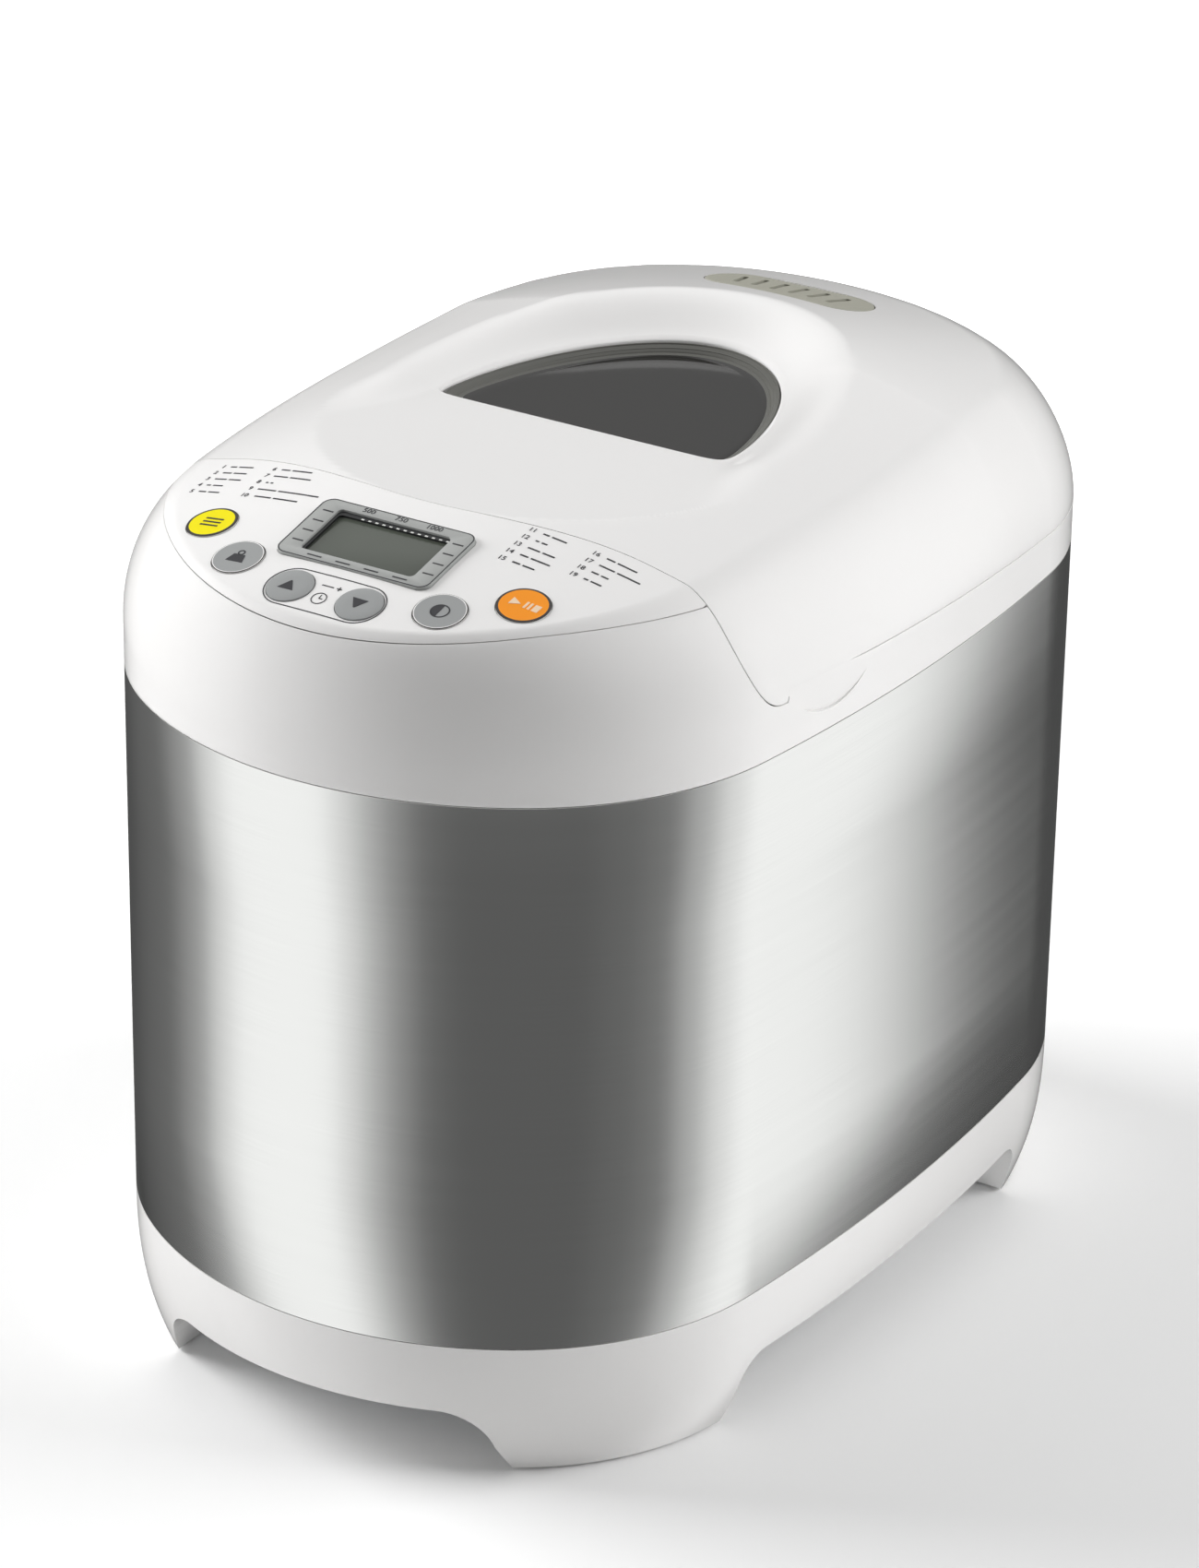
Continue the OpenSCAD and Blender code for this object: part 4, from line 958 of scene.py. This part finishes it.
# window insert
insertShape = {
    "gap": 0.3, "columns": 300, "rows": 18, "thickness": 2.4, "lip": 0.3,
    # the band, as (distance in, share of the way down to the glass)
    "band": [(0, 0.5), (0.15, 0.03), (0.5, 0), (0.7, 0.03), (0.85, 0.16), (1.0, 0.2), (1.3, 0.23), (3.0, 0.7),
             (3.15, 0.76), (3.25, 0.84), (3.4, 0.86), (4.3, 0.95), (4.5, 0.99)],
    "bandEnd": 4.6,
}


def glassHeight(y):
    share = min(max((y - windowShape["frontY"]) / windowShape["length"], 0), 1)
    return windowShape["glassFrontZ"] + (windowShape["glassRearZ"] - windowShape["glassFrontZ"]) * share


def buildInsert():
    # one smoked moulding: a plate with a stepped band that stands up to the rim of the well
    cx, cy = windowMiddle
    columns, rows, gap = insertShape["columns"], insertShape["rows"], insertShape["gap"]
    paths = []
    for i in range(columns):
        angle = 2 * halfTurn * i / columns
        way = (math.cos(angle), math.sin(angle))
        rimX, rimY = windowPoint(way[0], way[1], 0)
        top = heightAt(rimX, rimY) - windowShape["rollDrop"] - insertShape["lip"]
        path = []
        for inset, fall in insertShape["band"]:
            x, y = windowPoint(way[0], way[1], -gap - inset)
            path.append((x, y, top - 0.5 if inset == 0 else top - (top - glassHeight(y)) * fall))
        lastX, lastY = windowPoint(way[0], way[1], -gap - insertShape["bandEnd"])
        for k in range(rows):
            share = k / rows
            x, y = lastX + (cx - lastX) * share, lastY + (cy - lastY) * share
            path.append((x, y, glassHeight(y)))
        path.append((cx, cy, glassHeight(cy)))
        paths.append(path)
    count = len(paths[0]) - 1
    insert = sheetOver("windowInsert", columns, count, lambda i, j: paths[i % columns][j], (0, 10, 250))
    thicken(insert, insertShape["thickness"])
    smooth(insert, 24)
    outfit(insert, finishes["smokedGlass"], "lid", "window_glass")
    insert.data.materials.append(finishes["smokedBand"])
    for face in insert.data.polygons:
        if windowShare(face.center.x / mm, face.center.y / mm) < gap + insertShape["bandEnd"] - 0.1:
            face.material_index = 1


# housing under the lid: collar, front and panel surround
panelShape = {
    "half": 100, "radius": 104, "tipY": -104.3, "thickness": 2, "gap": 0.2, "buttonGap": 0.25,
    "displayWidth": 58, "displayDepth": 31.5, "displayY": -138.4, "glassWidth": 43, "glassDepth": 23,
}
panelMiddle = panelShape["tipY"] + math.sqrt(panelShape["radius"] ** 2 - panelShape["half"] ** 2)
housingShape = {
    "columns": 600, "rows": 34, "edge": 0.45, "thickness": 2.6,
    "gripY": -58, "gripRadius": 30, "gripHeight": 13, "gripDepth": 6.4, "gripTurn": 6.8,
    "deckRise": 7, "deckThickness": 2.8,
    "mouthWidth": 168, "mouthDepth": 196, "mouthRadius": 16, "mouthY": 32,
}


def lensFront(x, grow):
    return panelMiddle - math.sqrt(max((panelShape["radius"] + grow) ** 2 - x * x, 0))


def housingEnd(angle):
    # how far in from the outline the housing's outer surface runs, where the outline faces angle
    def beyond(inset):
        x, y = outlinePoint(angle, inset)
        over = min(y - lidEdge(x), heightAt(x, y) - lidLow(y, 0))
        if abs(x) < panelShape["half"] + 3:
            over = max(over, y - lensFront(x, panelShape["gap"]))
        return over
    return solve(beyond, 0, 90) if beyond(0) < 0 else 0


def housingPath(angle, count):
    x, y = outlinePoint(angle, 0)
    low, high = skinTop + 0.1, wallTop(angle, y)
    end = housingEnd(angle)
    if end < 0.001:
        return resample([(x, y, low), (x, y, min(high, lidLow(y, 0)))], count)
    path = [(x, y, low), (x, y, (low + high) / 2)]
    for k in range(121):
        inset = end * (k / 120) ** 2.2
        px, py = outlinePoint(angle, inset)
        path.append((px, py, heightAt(px, py)))
    return resample(path, count)


def housingCorners():
    # bearings of the corners of the lid's edge and of the panel, where a column has to stand
    tall = solve(lambda k: tabZ + lidShape["cornerTall"] - heightAt(k, lidEdge(k)), 90, 120)
    tip = solve(lambda x: lensFront(x, panelShape["gap"]) - lidEdge(x), 80, panelShape["radius"])
    spots = [(tall, lidEdge(tall)), (tip, lidEdge(tip))]
    for y in (lidShape["cornerY"], tabEnd, tabEnd + lidShape["tabSlant"]):
        turn = solve(lambda a: outlinePoint(a, 0)[1] - abs(y), 0, quarterTurn)
        spots.append((outlinePoint(turn, 0)[0], y))
    right = [outlinePlace(x, y)[0] for x, y in spots]
    return [turn % (2 * halfTurn) for turn in right] + [halfTurn - turn for turn in right]


def housingAngles():
    # closer columns where the lid's front edge runs down the side
    steps = 3000
    ends, total = [], 0
    last = None
    for i in range(steps + 1):
        angle = outlineAngle(outlineLength * (i % steps) / steps)
        x, y = outlinePoint(angle, housingEnd(angle))
        point = (x, y, heightAt(x, y))
        if last:
            total += math.dist(last, point)
        ends.append((total, i))
        last = point
    angles, k = [], 0
    for c in range(housingShape["columns"]):
        want = total * c / housingShape["columns"]
        while ends[k + 1][0] < want:
            k += 1
        span = ends[k + 1][0] - ends[k][0]
        share = (want - ends[k][0]) / span if span > 0 else 0
        angles.append(outlineAngle(outlineLength * (ends[k][1] + share) / steps))
    for corner in housingCorners():
        near = min(range(len(angles)), key=lambda c: abs(angles[c] - corner))
        angles[near] = corner
    return sorted(angles)


def upright(name, outline, low, high, wall, outwardFrom):
    # a wall that stands on a line of (x, y) points, from low(x, y) to high(x, y)
    rows = 6

    def place(i, j):
        x, y = outline[i]
        bottom, top = low(x, y), high(x, y)
        return x, y, bottom + (top - bottom) * j / rows
    piece = sheetOver(name, len(outline) - 1, rows, place, outwardFrom)
    thicken(piece, wall)
    return piece


def buildHousing():
    angles = housingAngles()
    columns, rows = len(angles), housingShape["rows"]
    paths = [housingPath(angle, rows) for angle in angles]
    housing = sheetOver("topHousing", columns, rows, lambda i, j: paths[i % columns][j], (0, 0, 250))
    thicken(housing, housingShape["thickness"])
    softenEdges(housing, housingShape["edge"], 3, 50)
    gripZ = seamHeight(housingShape["gripY"]) + housingShape["gripRadius"] - housingShape["gripHeight"]
    for side in (-1, 1):
        clearSelection()
        bpy.ops.mesh.primitive_cylinder_add(
            vertices=128, radius=housingShape["gripRadius"] * mm, depth=housingShape["gripDepth"] * mm)
        place = Matrix.Translation(Vector((side * halfWidth, housingShape["gripY"], gripZ)) * mm)
        turn = Matrix.Rotation(math.radians(-side * housingShape["gripTurn"]), 4, "Z")
        cut(housing, settle(named("gripCutter"), place @ turn @ Matrix.Rotation(quarterTurn, 4, "Y")))
    smooth(housing)
    outfit(housing, finishes["whiteAbs"], "cabinet", "top_housing")

    deckTop = skinTop + housingShape["deckRise"] + housingShape["deckThickness"]
    deckLow = skinTop + housingShape["deckRise"]
    ring = [outlineStep(i, 240, 2.6) for i in range(240)]
    ring = [(x, max(y, lidEdge(x) - 6)) for x, y in ring]
    deck = prism("deckPlate", ring, deckLow, deckTop)
    mouth = roundedRect(housingShape["mouthWidth"], housingShape["mouthDepth"],
                        housingShape["mouthRadius"], 12)
    mouth = [(x, y + housingShape["mouthY"]) for x, y in mouth]
    cut(deck, prism("mouthCutter", mouth, deckLow - 5, deckTop + 5))
    softenEdges(deck, 0.8, 3, 50)
    smooth(deck)
    outfit(deck, finishes["whiteAbs"], "cabinet")

    # the wall behind the panel, which the lid's front edge meets
    line = [(x, lidEdge(x) - 0.4) for x in [-112 + 224 * i / 96 for i in range(97)]]
    wall = upright("panelBackWall", line, lambda x, y: deckLow + 0.5,
                   lambda x, y: max(heightAt(x, y) - 2.4, deckLow + 1),
                   2.4, (0, -180, 250))
    smooth(wall)
    outfit(wall, finishes["whiteAbs"], "cabinet")
    line = [(x, lidEdge(x) + lidShape["gap"] + 0.5) for x in [-97 + 194 * i / 96 for i in range(97)]]
    flange = upright("lidFrontWall", line, lambda x, y: seamHeight(y) + 1.5,
                     lambda x, y: max(heightAt(x, y) - 1.4, seamHeight(y) + 2), 2.6, (0, 60, 250))
    smooth(flange)
    outfit(flange, finishes["whiteAbs"], "lid")
    print("housing ready:", len(housing.data.polygons), "faces")


# control panel
# place and finish of each key: its radius, its coloured disc, and a printed ring from one radius to another
keys = {
    "menu": {"place": (-59.4, -144.3), "radius": 8.6, "disc": 7.6, "finish": "keyYellow", "ring": (7.6, 8.6)},
    "weight": {"place": (-38.4, -159.1), "radius": 8.7, "disc": 8.1, "finish": "keyGrey", "ring": (8.4, 8.7)},
    "up": {"place": (-13.1, -166.3), "radius": 7.8, "disc": 7.8, "finish": "keyGrey", "ring": None},
    "down": {"place": (13.1, -166.3), "radius": 7.8, "disc": 7.8, "finish": "keyGrey", "ring": None},
    "colour": {"place": (38.4, -159.1), "radius": 8.7, "disc": 8.1, "finish": "keyGrey", "ring": (8.4, 8.7)},
    "start": {"place": (59.4, -144.3), "radius": 8.75, "disc": 7.85, "finish": "keyOrange",
              "ring": (7.85, 8.75)},
}
keyTop = 0.38      # height of a key's face above the panel
stemEnd = -12.9    # short of the board's switches when a key is pressed


def buildPanel():
    columns, rows = 120, 36

    def place(i, j):
        x = panelShape["half"] * math.sin(quarterTurn * (2 * i / columns - 1))
        back = lidEdge(x)
        front = min(lensFront(x, 0), back - 0.5)
        y = front + (back - front) * j / rows
        return x, y, heightAt(x, y)
    panel = sheetOver("controlPanel", columns, rows, place, (0, -140, 0))
    thicken(panel, panelShape["thickness"])
    softenEdges(panel, 0.4, 3, 50)
    for key in keys.values():
        clearSelection()
        radius = key["radius"] + panelShape["buttonGap"]
        bpy.ops.mesh.primitive_cylinder_add(vertices=96, radius=radius * mm, depth=20 * mm)
        cut(panel, settle(named("buttonHole"), onTop(*key["place"])))
    hole = roundedRect(panelShape["displayWidth"] + 0.4, panelShape["displayDepth"] + 0.4, 4.2, 10)
    cut(panel, settle(prism("displayHole", hole, -12, 12), onTop(0, panelShape["displayY"])))
    smooth(panel)
    crownNormals(panel)
    outfit(panel, finishes["panelFilm"], "cabinet", "control_panel")
    print("panel ready:", len(panel.data.polygons), "faces")


def buildButton(name, key):
    # a flat cap with a rounded rim, a skirt under the panel and a stem; its face is printed in rings
    radius = key["radius"]
    rings = sorted({key["disc"], *(key["ring"] or ())} - {radius})
    face = [(0, keyTop), (radius * 0.5, keyTop)] + [(r, keyTop) for r in rings if r < radius - 0.3]
    rim = [(radius - 0.28, keyTop), (radius - 0.1, keyTop - 0.06), (radius, keyTop - 0.2)]
    skirt = [(radius, -5.3), (radius + 1.3, -5.4), (radius + 1.3, -6.4)]
    profile = face + rim + skirt + [(2, -6.5), (2, stemEnd), (0, stemEnd)]
    button = lathe(name + "Cap", profile, 96)
    smooth(button, 30)
    # which face takes which finish: 0 the panel's film, 1 the key's colour, 2 the ring
    kinds = []
    for f in button.data.polygons:
        reach = math.hypot(f.center.x, f.center.y) / mm
        if f.center.z / mm < keyTop - 0.25:
            kinds.append(0 if key["ring"] else 1)
        elif key["ring"] and key["ring"][0] < reach:
            kinds.append(2)
        else:
            kinds.append(1 if reach < key["disc"] else 0)
    settle(button, onTop(*key["place"]))
    outfit(button, finishes["panelFilm"], name + "_button", name + "_button")
    for finish in (key["finish"], "keyRing"):
        button.data.materials.append(finishes[finish])
    for f, kind in zip(button.data.polygons, kinds):
        f.material_index = kind


def buildButtons():
    for name, key in keys.items():
        buildButton(name, key)
    print("buttons ready")


def buildDisplay():
    middle = onTop(0, panelShape["displayY"])
    width, depth = panelShape["displayWidth"], panelShape["displayDepth"]
    glassWidth, glassDepth = panelShape["glassWidth"], panelShape["glassDepth"]
    frameRing = prism("displayFrame", roundedRect(width, depth, 4, 10), -4.4, 0.3)
    cut(frameRing, prism("glassHole", roundedRect(glassWidth, glassDepth, 1.8, 8), -8, 4))
    softenEdges(frameRing, 0.2, 2, 50)
    smooth(frameRing)
    outfit(settle(frameRing, middle), finishes["greyInk"], "cabinet", "display_frame")
    # a printed line round the frame
    line = prism("displayOutline", roundedRect(width - 0.3, depth - 0.3, 3.85, 10), 0.28, 0.34)
    cut(line, prism("lineHole", roundedRect(width - 1.1, depth - 1.1, 3.45, 10), -1, 1))
    outfit(settle(line, middle), finishes["blackInk"], "cabinet")
    pane = prism("displayPane", roundedRect(glassWidth - 0.2, glassDepth - 0.2, 1.7, 8), -2.6, -1.2)
    softenEdges(pane, 0.15, 2, 50)
    smooth(pane)
    outfit(settle(pane, middle), finishes["displayGlass"], "cabinet", "display_window")
    # painted shade: a black strip over the glass's edge, wide along its top and left, standing in for the
    # shade that the recess's walls cast on the glass
    edgeShade = prism("displayEdgeShade", roundedRect(glassWidth - 0.06, glassDepth - 0.06, 1.75, 8), -1.18, -0.5)
    cut(edgeShade, prism("edgeShadeHole", [(x + 0.35, y - 0.75) for x, y in
                                     roundedRect(glassWidth - 1.5, glassDepth - 2.3, 1.4, 8)], -3, 3))
    smooth(edgeShade)
    outfit(settle(edgeShade, middle), finishes["blackPlastic"], "cabinet")
    print("display ready")


# prints on the panel, the keys and the display: plain numbers, dashes and pictograms
printShape = {
    "lift": 0.03, "depth": 0.09, "line": 0.35, "textSize": 2.9, "dashHeight": 0.62, "rowPitch": 4.4,
    # each list: first number, left end, first row, and the right end of each row's dashes
    "lists": [
        (1, -81.3, -109.0, [-68.8, -68.4, -67.6, -71.5, -69.7]),
        (6, -61.0, -109.0, [-45.5, -43, -54.6, -33.7, -38.9]),
        (11, 38.6, -109.8, [52.7, 48.3, 53.9, 55, 52.1]),
        (16, 61.7, -108.9, [78.3, 82.2, 73.3, 73.5]),
    ],
    "stadiumRadius": 8.7, "clock": (-0.8, -168.4), "clockRadius": 2.6, "plus": (0.4, -162.5),
}


def bar(x0, x1, y, height):
    # a flat dash from x0 to x1, centred on y
    half = height / 2
    corners = [(x0, y - half), (x1, y - half), (x1, y + half), (x0, y + half)]
    return prism("dash", corners, 0, printShape["depth"])


def patch(outline):
    return prism("patch", outline, 0, printShape["depth"])


def loop(outline, line):
    # a printed line along a closed outline, inwards
    grown = patch(outline)
    count = len(outline)
    inner = []
    for k, (x, y) in enumerate(outline):
        ax, ay = outline[k - 1]
        bx, by = outline[(k + 1) % count]
        length = math.hypot(bx - ax, by - ay)
        inner.append((x - (by - ay) / length * line, y + (bx - ax) / length * line))
    return cut(grown, prism("loopHole", inner, -1, 1))


def arc(radius, start, end, steps=32, centre=(0, 0)):
    return [(centre[0] + radius * math.cos(math.radians(start + (end - start) * k / steps)),
             centre[1] + radius * math.sin(math.radians(start + (end - start) * k / steps)))
             for k in range(steps + 1)]


def number(words, size, x, y, align="LEFT"):
    clearSelection()
    bpy.ops.object.text_add()
    text = bpy.context.active_object
    text.data.body = words
    text.data.size = size
    text.data.resolution_u = 3
    text.data.align_x, text.data.align_y = align, "CENTER"
    text.data.extrude = printShape["depth"] / 2
    bpy.ops.object.convert(target="MESH")
    piece = named("number")
    for vertex in piece.data.vertices:
        vertex.co = (vertex.co + Vector((x, y, printShape["depth"] / 2))) * mm
    return piece


def drape(piece):
    # lays a flat print over the outer surface
    for vertex in piece.data.vertices:
        x, y = vertex.co.x / mm, vertex.co.y / mm
        vertex.co.z += (heightAt(x, y) + printShape["lift"]) * mm
    return piece


def buildLists():
    marks = []
    for first, left, top, ends in printShape["lists"]:
        for row, end in enumerate(ends):
            y = top - row * printShape["rowPitch"]
            wide = first + row > 9
            marks.append(number(str(first + row), printShape["textSize"], left, y))
            x = left + (5.4 if wide else 3.6)
            # two dashes, the first the shorter
            middle = x + (end - x) * (0.32 + 0.09 * (row % 3))
            for x0, x1 in ((x, middle - 0.5), (middle + 0.5, end)):
                half = (x0 + x1) / 2
                marks.append(bar(x0, half, y, printShape["dashHeight"]))
                marks.append(bar(half, x1, y, printShape["dashHeight"]))
    lists = drape(join("panelNumbers", *marks))
    outfit(lists, finishes["blackInk"], "cabinet")


def buildArrowPrint():
    # the long ring round the two arrow keys, the clock between them and a plus
    radius, line = printShape["stadiumRadius"], printShape["line"]
    x, y = keys["down"]["place"]
    ring = arc(radius, -90, 90, 32, (x, y))
    ring += [(x - 2 * x * k / 12, y + radius) for k in range(1, 12)]
    ring += arc(radius, 90, 270, 32, (-x, y))
    ring += [(-x + 2 * x * k / 12, y - radius) for k in range(1, 12)]
    cx, cy = printShape["clock"]
    face = arc(printShape["clockRadius"], 0, 352.5, 47, (cx, cy))
    px, py = printShape["plus"]
    marks = [loop(ring, line), loop(face, 0.3),
             bar(cx - 0.12, cx + 1.3, cy, 0.3), bar(cx - 0.13, cx + 0.13, cy + 0.85, 1.7),
             bar(px - 4, px + 0.4, py, 0.4), bar(px + 1.6, px + 3.4, py, 0.4),
             bar(px + 2.3, px + 2.7, py, 1.8)]
    outfit(drape(join("arrowPrint", *marks)), finishes["blackInk"], "cabinet")


def buildKeyPrints():
    triangle = [(-2.9, -2.1), (2.9, -2.1), (0.25, 2.2), (-0.25, 2.2)]
    prints = {
        "menu": [bar(-3.4, 3.4, y, 0.75) for y in (1.9, 0, -1.9)],
        "weight": [patch([(-3.2, -2.6), (3.2, -2.6), (2.1, 1.2), (-2.1, 1.2)]),
                   loop(arc(1.3, 0, 352.5, 47, (0, 2.2)), 0.5)],
        "up": [patch([(x - 0.7, y) for x, y in triangle])],
        "down": [patch([(-x - 0.7, -y) for x, y in triangle])],
        "colour": [loop(arc(3.2, 0, 352.5, 47), 0.45), patch(arc(2.9, 90, 270))],
    }
    for name, marks in prints.items():
        piece = join(name + "Mark", *marks)
        lifted = onTop(*keys[name]["place"], keyTop)
        outfit(settle(piece, lifted), finishes["blackInk"], name + "_button")
    marks = [patch([(-4.6, -1.9), (-1, 0), (-4.6, 1.9)]), bar(0.3, 1.1, 0.4, 3.4), bar(1.8, 2.6, 0.4, 3.4),
             patch([(3.4, -1.3), (5.6, -1.3), (5.6, 2.1), (3.4, 2.1)])]
    piece = settle(join("startMark", *marks), onTop(*keys["start"]["place"], keyTop))
    outfit(piece, finishes["orangeInk"], "start_button")


def buildDisplayPrint():
    # three numbers above the glass, rows of dashes on the other sides
    depth = panelShape["displayDepth"]
    rim = (depth + panelShape["glassDepth"]) / 4
    shown = (("500", -11.8), ("750", 0.6), ("1000", 13.2))
    marks = [number(words, 3.1, x, rim + 0.1, "CENTER") for words, x in shown]
    for row in range(4):
        y = 8.9 - 5.7 * row
        marks += [bar(-26.4, -22.4, y, 0.55), bar(23.2, 27.2, y, 0.55)]
        x = -17 + 10.8 * row
        marks.append(bar(x, x + 5.4, -rim, 0.55))
    piece = settle(join("displayMarks", *marks), onTop(0, panelShape["displayY"], 0.3))
    outfit(piece, finishes["blackInk"], "cabinet")
    # small segments along the top of the glass
    dashes = [bar(-12.4 + 2.7 * k, -11.3 + 2.7 * k, 9.9, 0.6) for k in range(13)]
    piece = settle(join("displaySegments", *dashes), onTop(0, panelShape["displayY"], -0.49))
    outfit(piece, finishes["whiteInk"], "cabinet")


def buildPrints():
    buildLists()
    buildArrowPrint()
    buildKeyPrints()
    buildDisplayPrint()
    print("prints ready")


# vent
ventShape = {
    "middle": (-2, 115.7), "half": 32.5, "halfDepth": 12.1, "pitch": 7.9, "fan": 100,
    "slotWidth": 2.4, "slotLength": 12.5, "slots": 6, "proud": 0.15, "thickness": 1.6,
}


def ventOutline(grow, steps=48):
    half, deep = ventShape["half"] + grow, ventShape["halfDepth"] + grow
    points = []
    for side in (1, -1):
        for k in range(steps + 1):
            turn = math.radians(-90 + 180 * k / steps) + (0 if side > 0 else halfTurn)
            points.append((side * (half - deep) + deep * math.cos(turn), deep * math.sin(turn)))
    return points


def buildVent(lid):
    mx, my = ventShape["middle"]
    outline = ventOutline(0)
    count, rows = len(outline), 10

    def place(i, j):
        x, y = outline[i % count]
        share = 1 - j / rows
        px, py = mx + x * share, my + y * share
        return px, py, heightAt(px, py) + ventShape["proud"]
    vent = sheetOver("ventGrille", count, rows, place, (mx, my, 0))
    thicken(vent, ventShape["thickness"])
    softenEdges(vent, 0.45, 3, 50)
    slotShape = roundedRect(ventShape["slotWidth"], ventShape["slotLength"], 1.05, 6)
    for k in range(ventShape["slots"]):
        across = (k - (ventShape["slots"] - 1) / 2) * ventShape["pitch"]
        lean = -math.atan2(across, ventShape["fan"])
        sx = mx + across
        points = [(sx + x * math.cos(lean) - y * math.sin(lean), my + x * math.sin(lean) + y * math.cos(lean))
                  for x, y in slotShape]
        cut(vent, prism("ventSlot", points, 280, 340))
    smooth(vent)
    crownNormals(vent)
    outfit(vent, finishes["taupeAbs"], "lid", "vent_grille")
    recess = [(mx + x, my + y) for x, y in ventOutline(0.3)]
    floor = heightAt(mx, my)
    cut(lid, prism("ventRecess", recess, floor - 8, 340))
    smooth(lid)
    crownNormals(lid)
    # dark box under the slots
    box = prism("ventDuct", [(mx + x * 0.96, my + y * 0.9) for x, y in outline], floor - 9, floor - 3.4)
    smooth(box)
    outfit(box, finishes["blackPlastic"], "lid")
    print("vent ready")


# pieces carried over from the model, each with its own finish and smoothed edges
innerFinishes = {
    "rubber_feet": "blackRubber", "chassis_plate": "platedSteel", "display_module": "blackPlastic",
    "control_board": "greenBoard", "board_switches": "blackPlastic", "oven_chamber": "platedSteel",
    "heating_element": "elementSteel", "element_clips": "platedSteel", "element_terminals": "whiteCeramic",
    "temperature_sensor": "turnedSteel", "thermal_fuse": "whiteCeramic", "bearing_housing": "castAluminium",
    "spindle_bush": "sinteredBronze", "pan_socket": "castAluminium", "drive_spindle": "turnedSteel",
    "large_pulley": "blackPlastic", "drive_coupling": "castAluminium", "drive_belt": "blackRubber",
    "motor_pulley": "blackPlastic", "motor": "motorEnamel", "motor_bracket": "platedSteel",
    "motor_capacitor": "taupeAbs", "power_board": "greenBoard", "cord_gland": "blackRubber",
    "base_screws": "turnedSteel", "hinge_brackets": "whiteAbs", "hinge_pins": "turnedSteel",
    "lid_liner": "platedSteel", "lid_seal": "greyRubber", "lid_hinge_arms": "whiteAbs",
    "lid_screws": "turnedSteel", "window_seal": "darkSeal", "bread_pan": "nonStick",
    "pan_bush": "sinteredBronze",
    "pan_shaft": "turnedSteel", "pan_coupling": "castAluminium", "kneading_paddle": "nonStick",
    "pan_handle": "turnedSteel",
}


def bodyOf(node):
    bodies = frame["record"]["behaviour"]["bodies"]
    return next(body for body, nodes in bodies.items() if node in nodes)


def dressInner():
    for node, finish in innerFinishes.items():
        source = frame["nodes"][node]
        piece = source.copy()
        piece.data = source.data.copy()
        piece.parent = None
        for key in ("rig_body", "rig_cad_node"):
            if key in piece:
                del piece[key]
        bpy.context.scene.collection.objects.link(piece)
        activate(piece)
        named("".join(word.title() if k else word for k, word in enumerate(node.split("_"))))
        editAll(piece, mergeDoubles)
        smooth(piece, 32)
        outfit(piece, finishes[finish], bodyOf(node), node)
    print("inner pieces ready:", len(innerFinishes))


buildStudio()
buildSkin()
buildBase()
lid = buildLid()
buildInsert()
buildHousing()
buildPanel()
buildButtons()
buildDisplay()
buildPrints()
buildVent(lid)
dressInner()
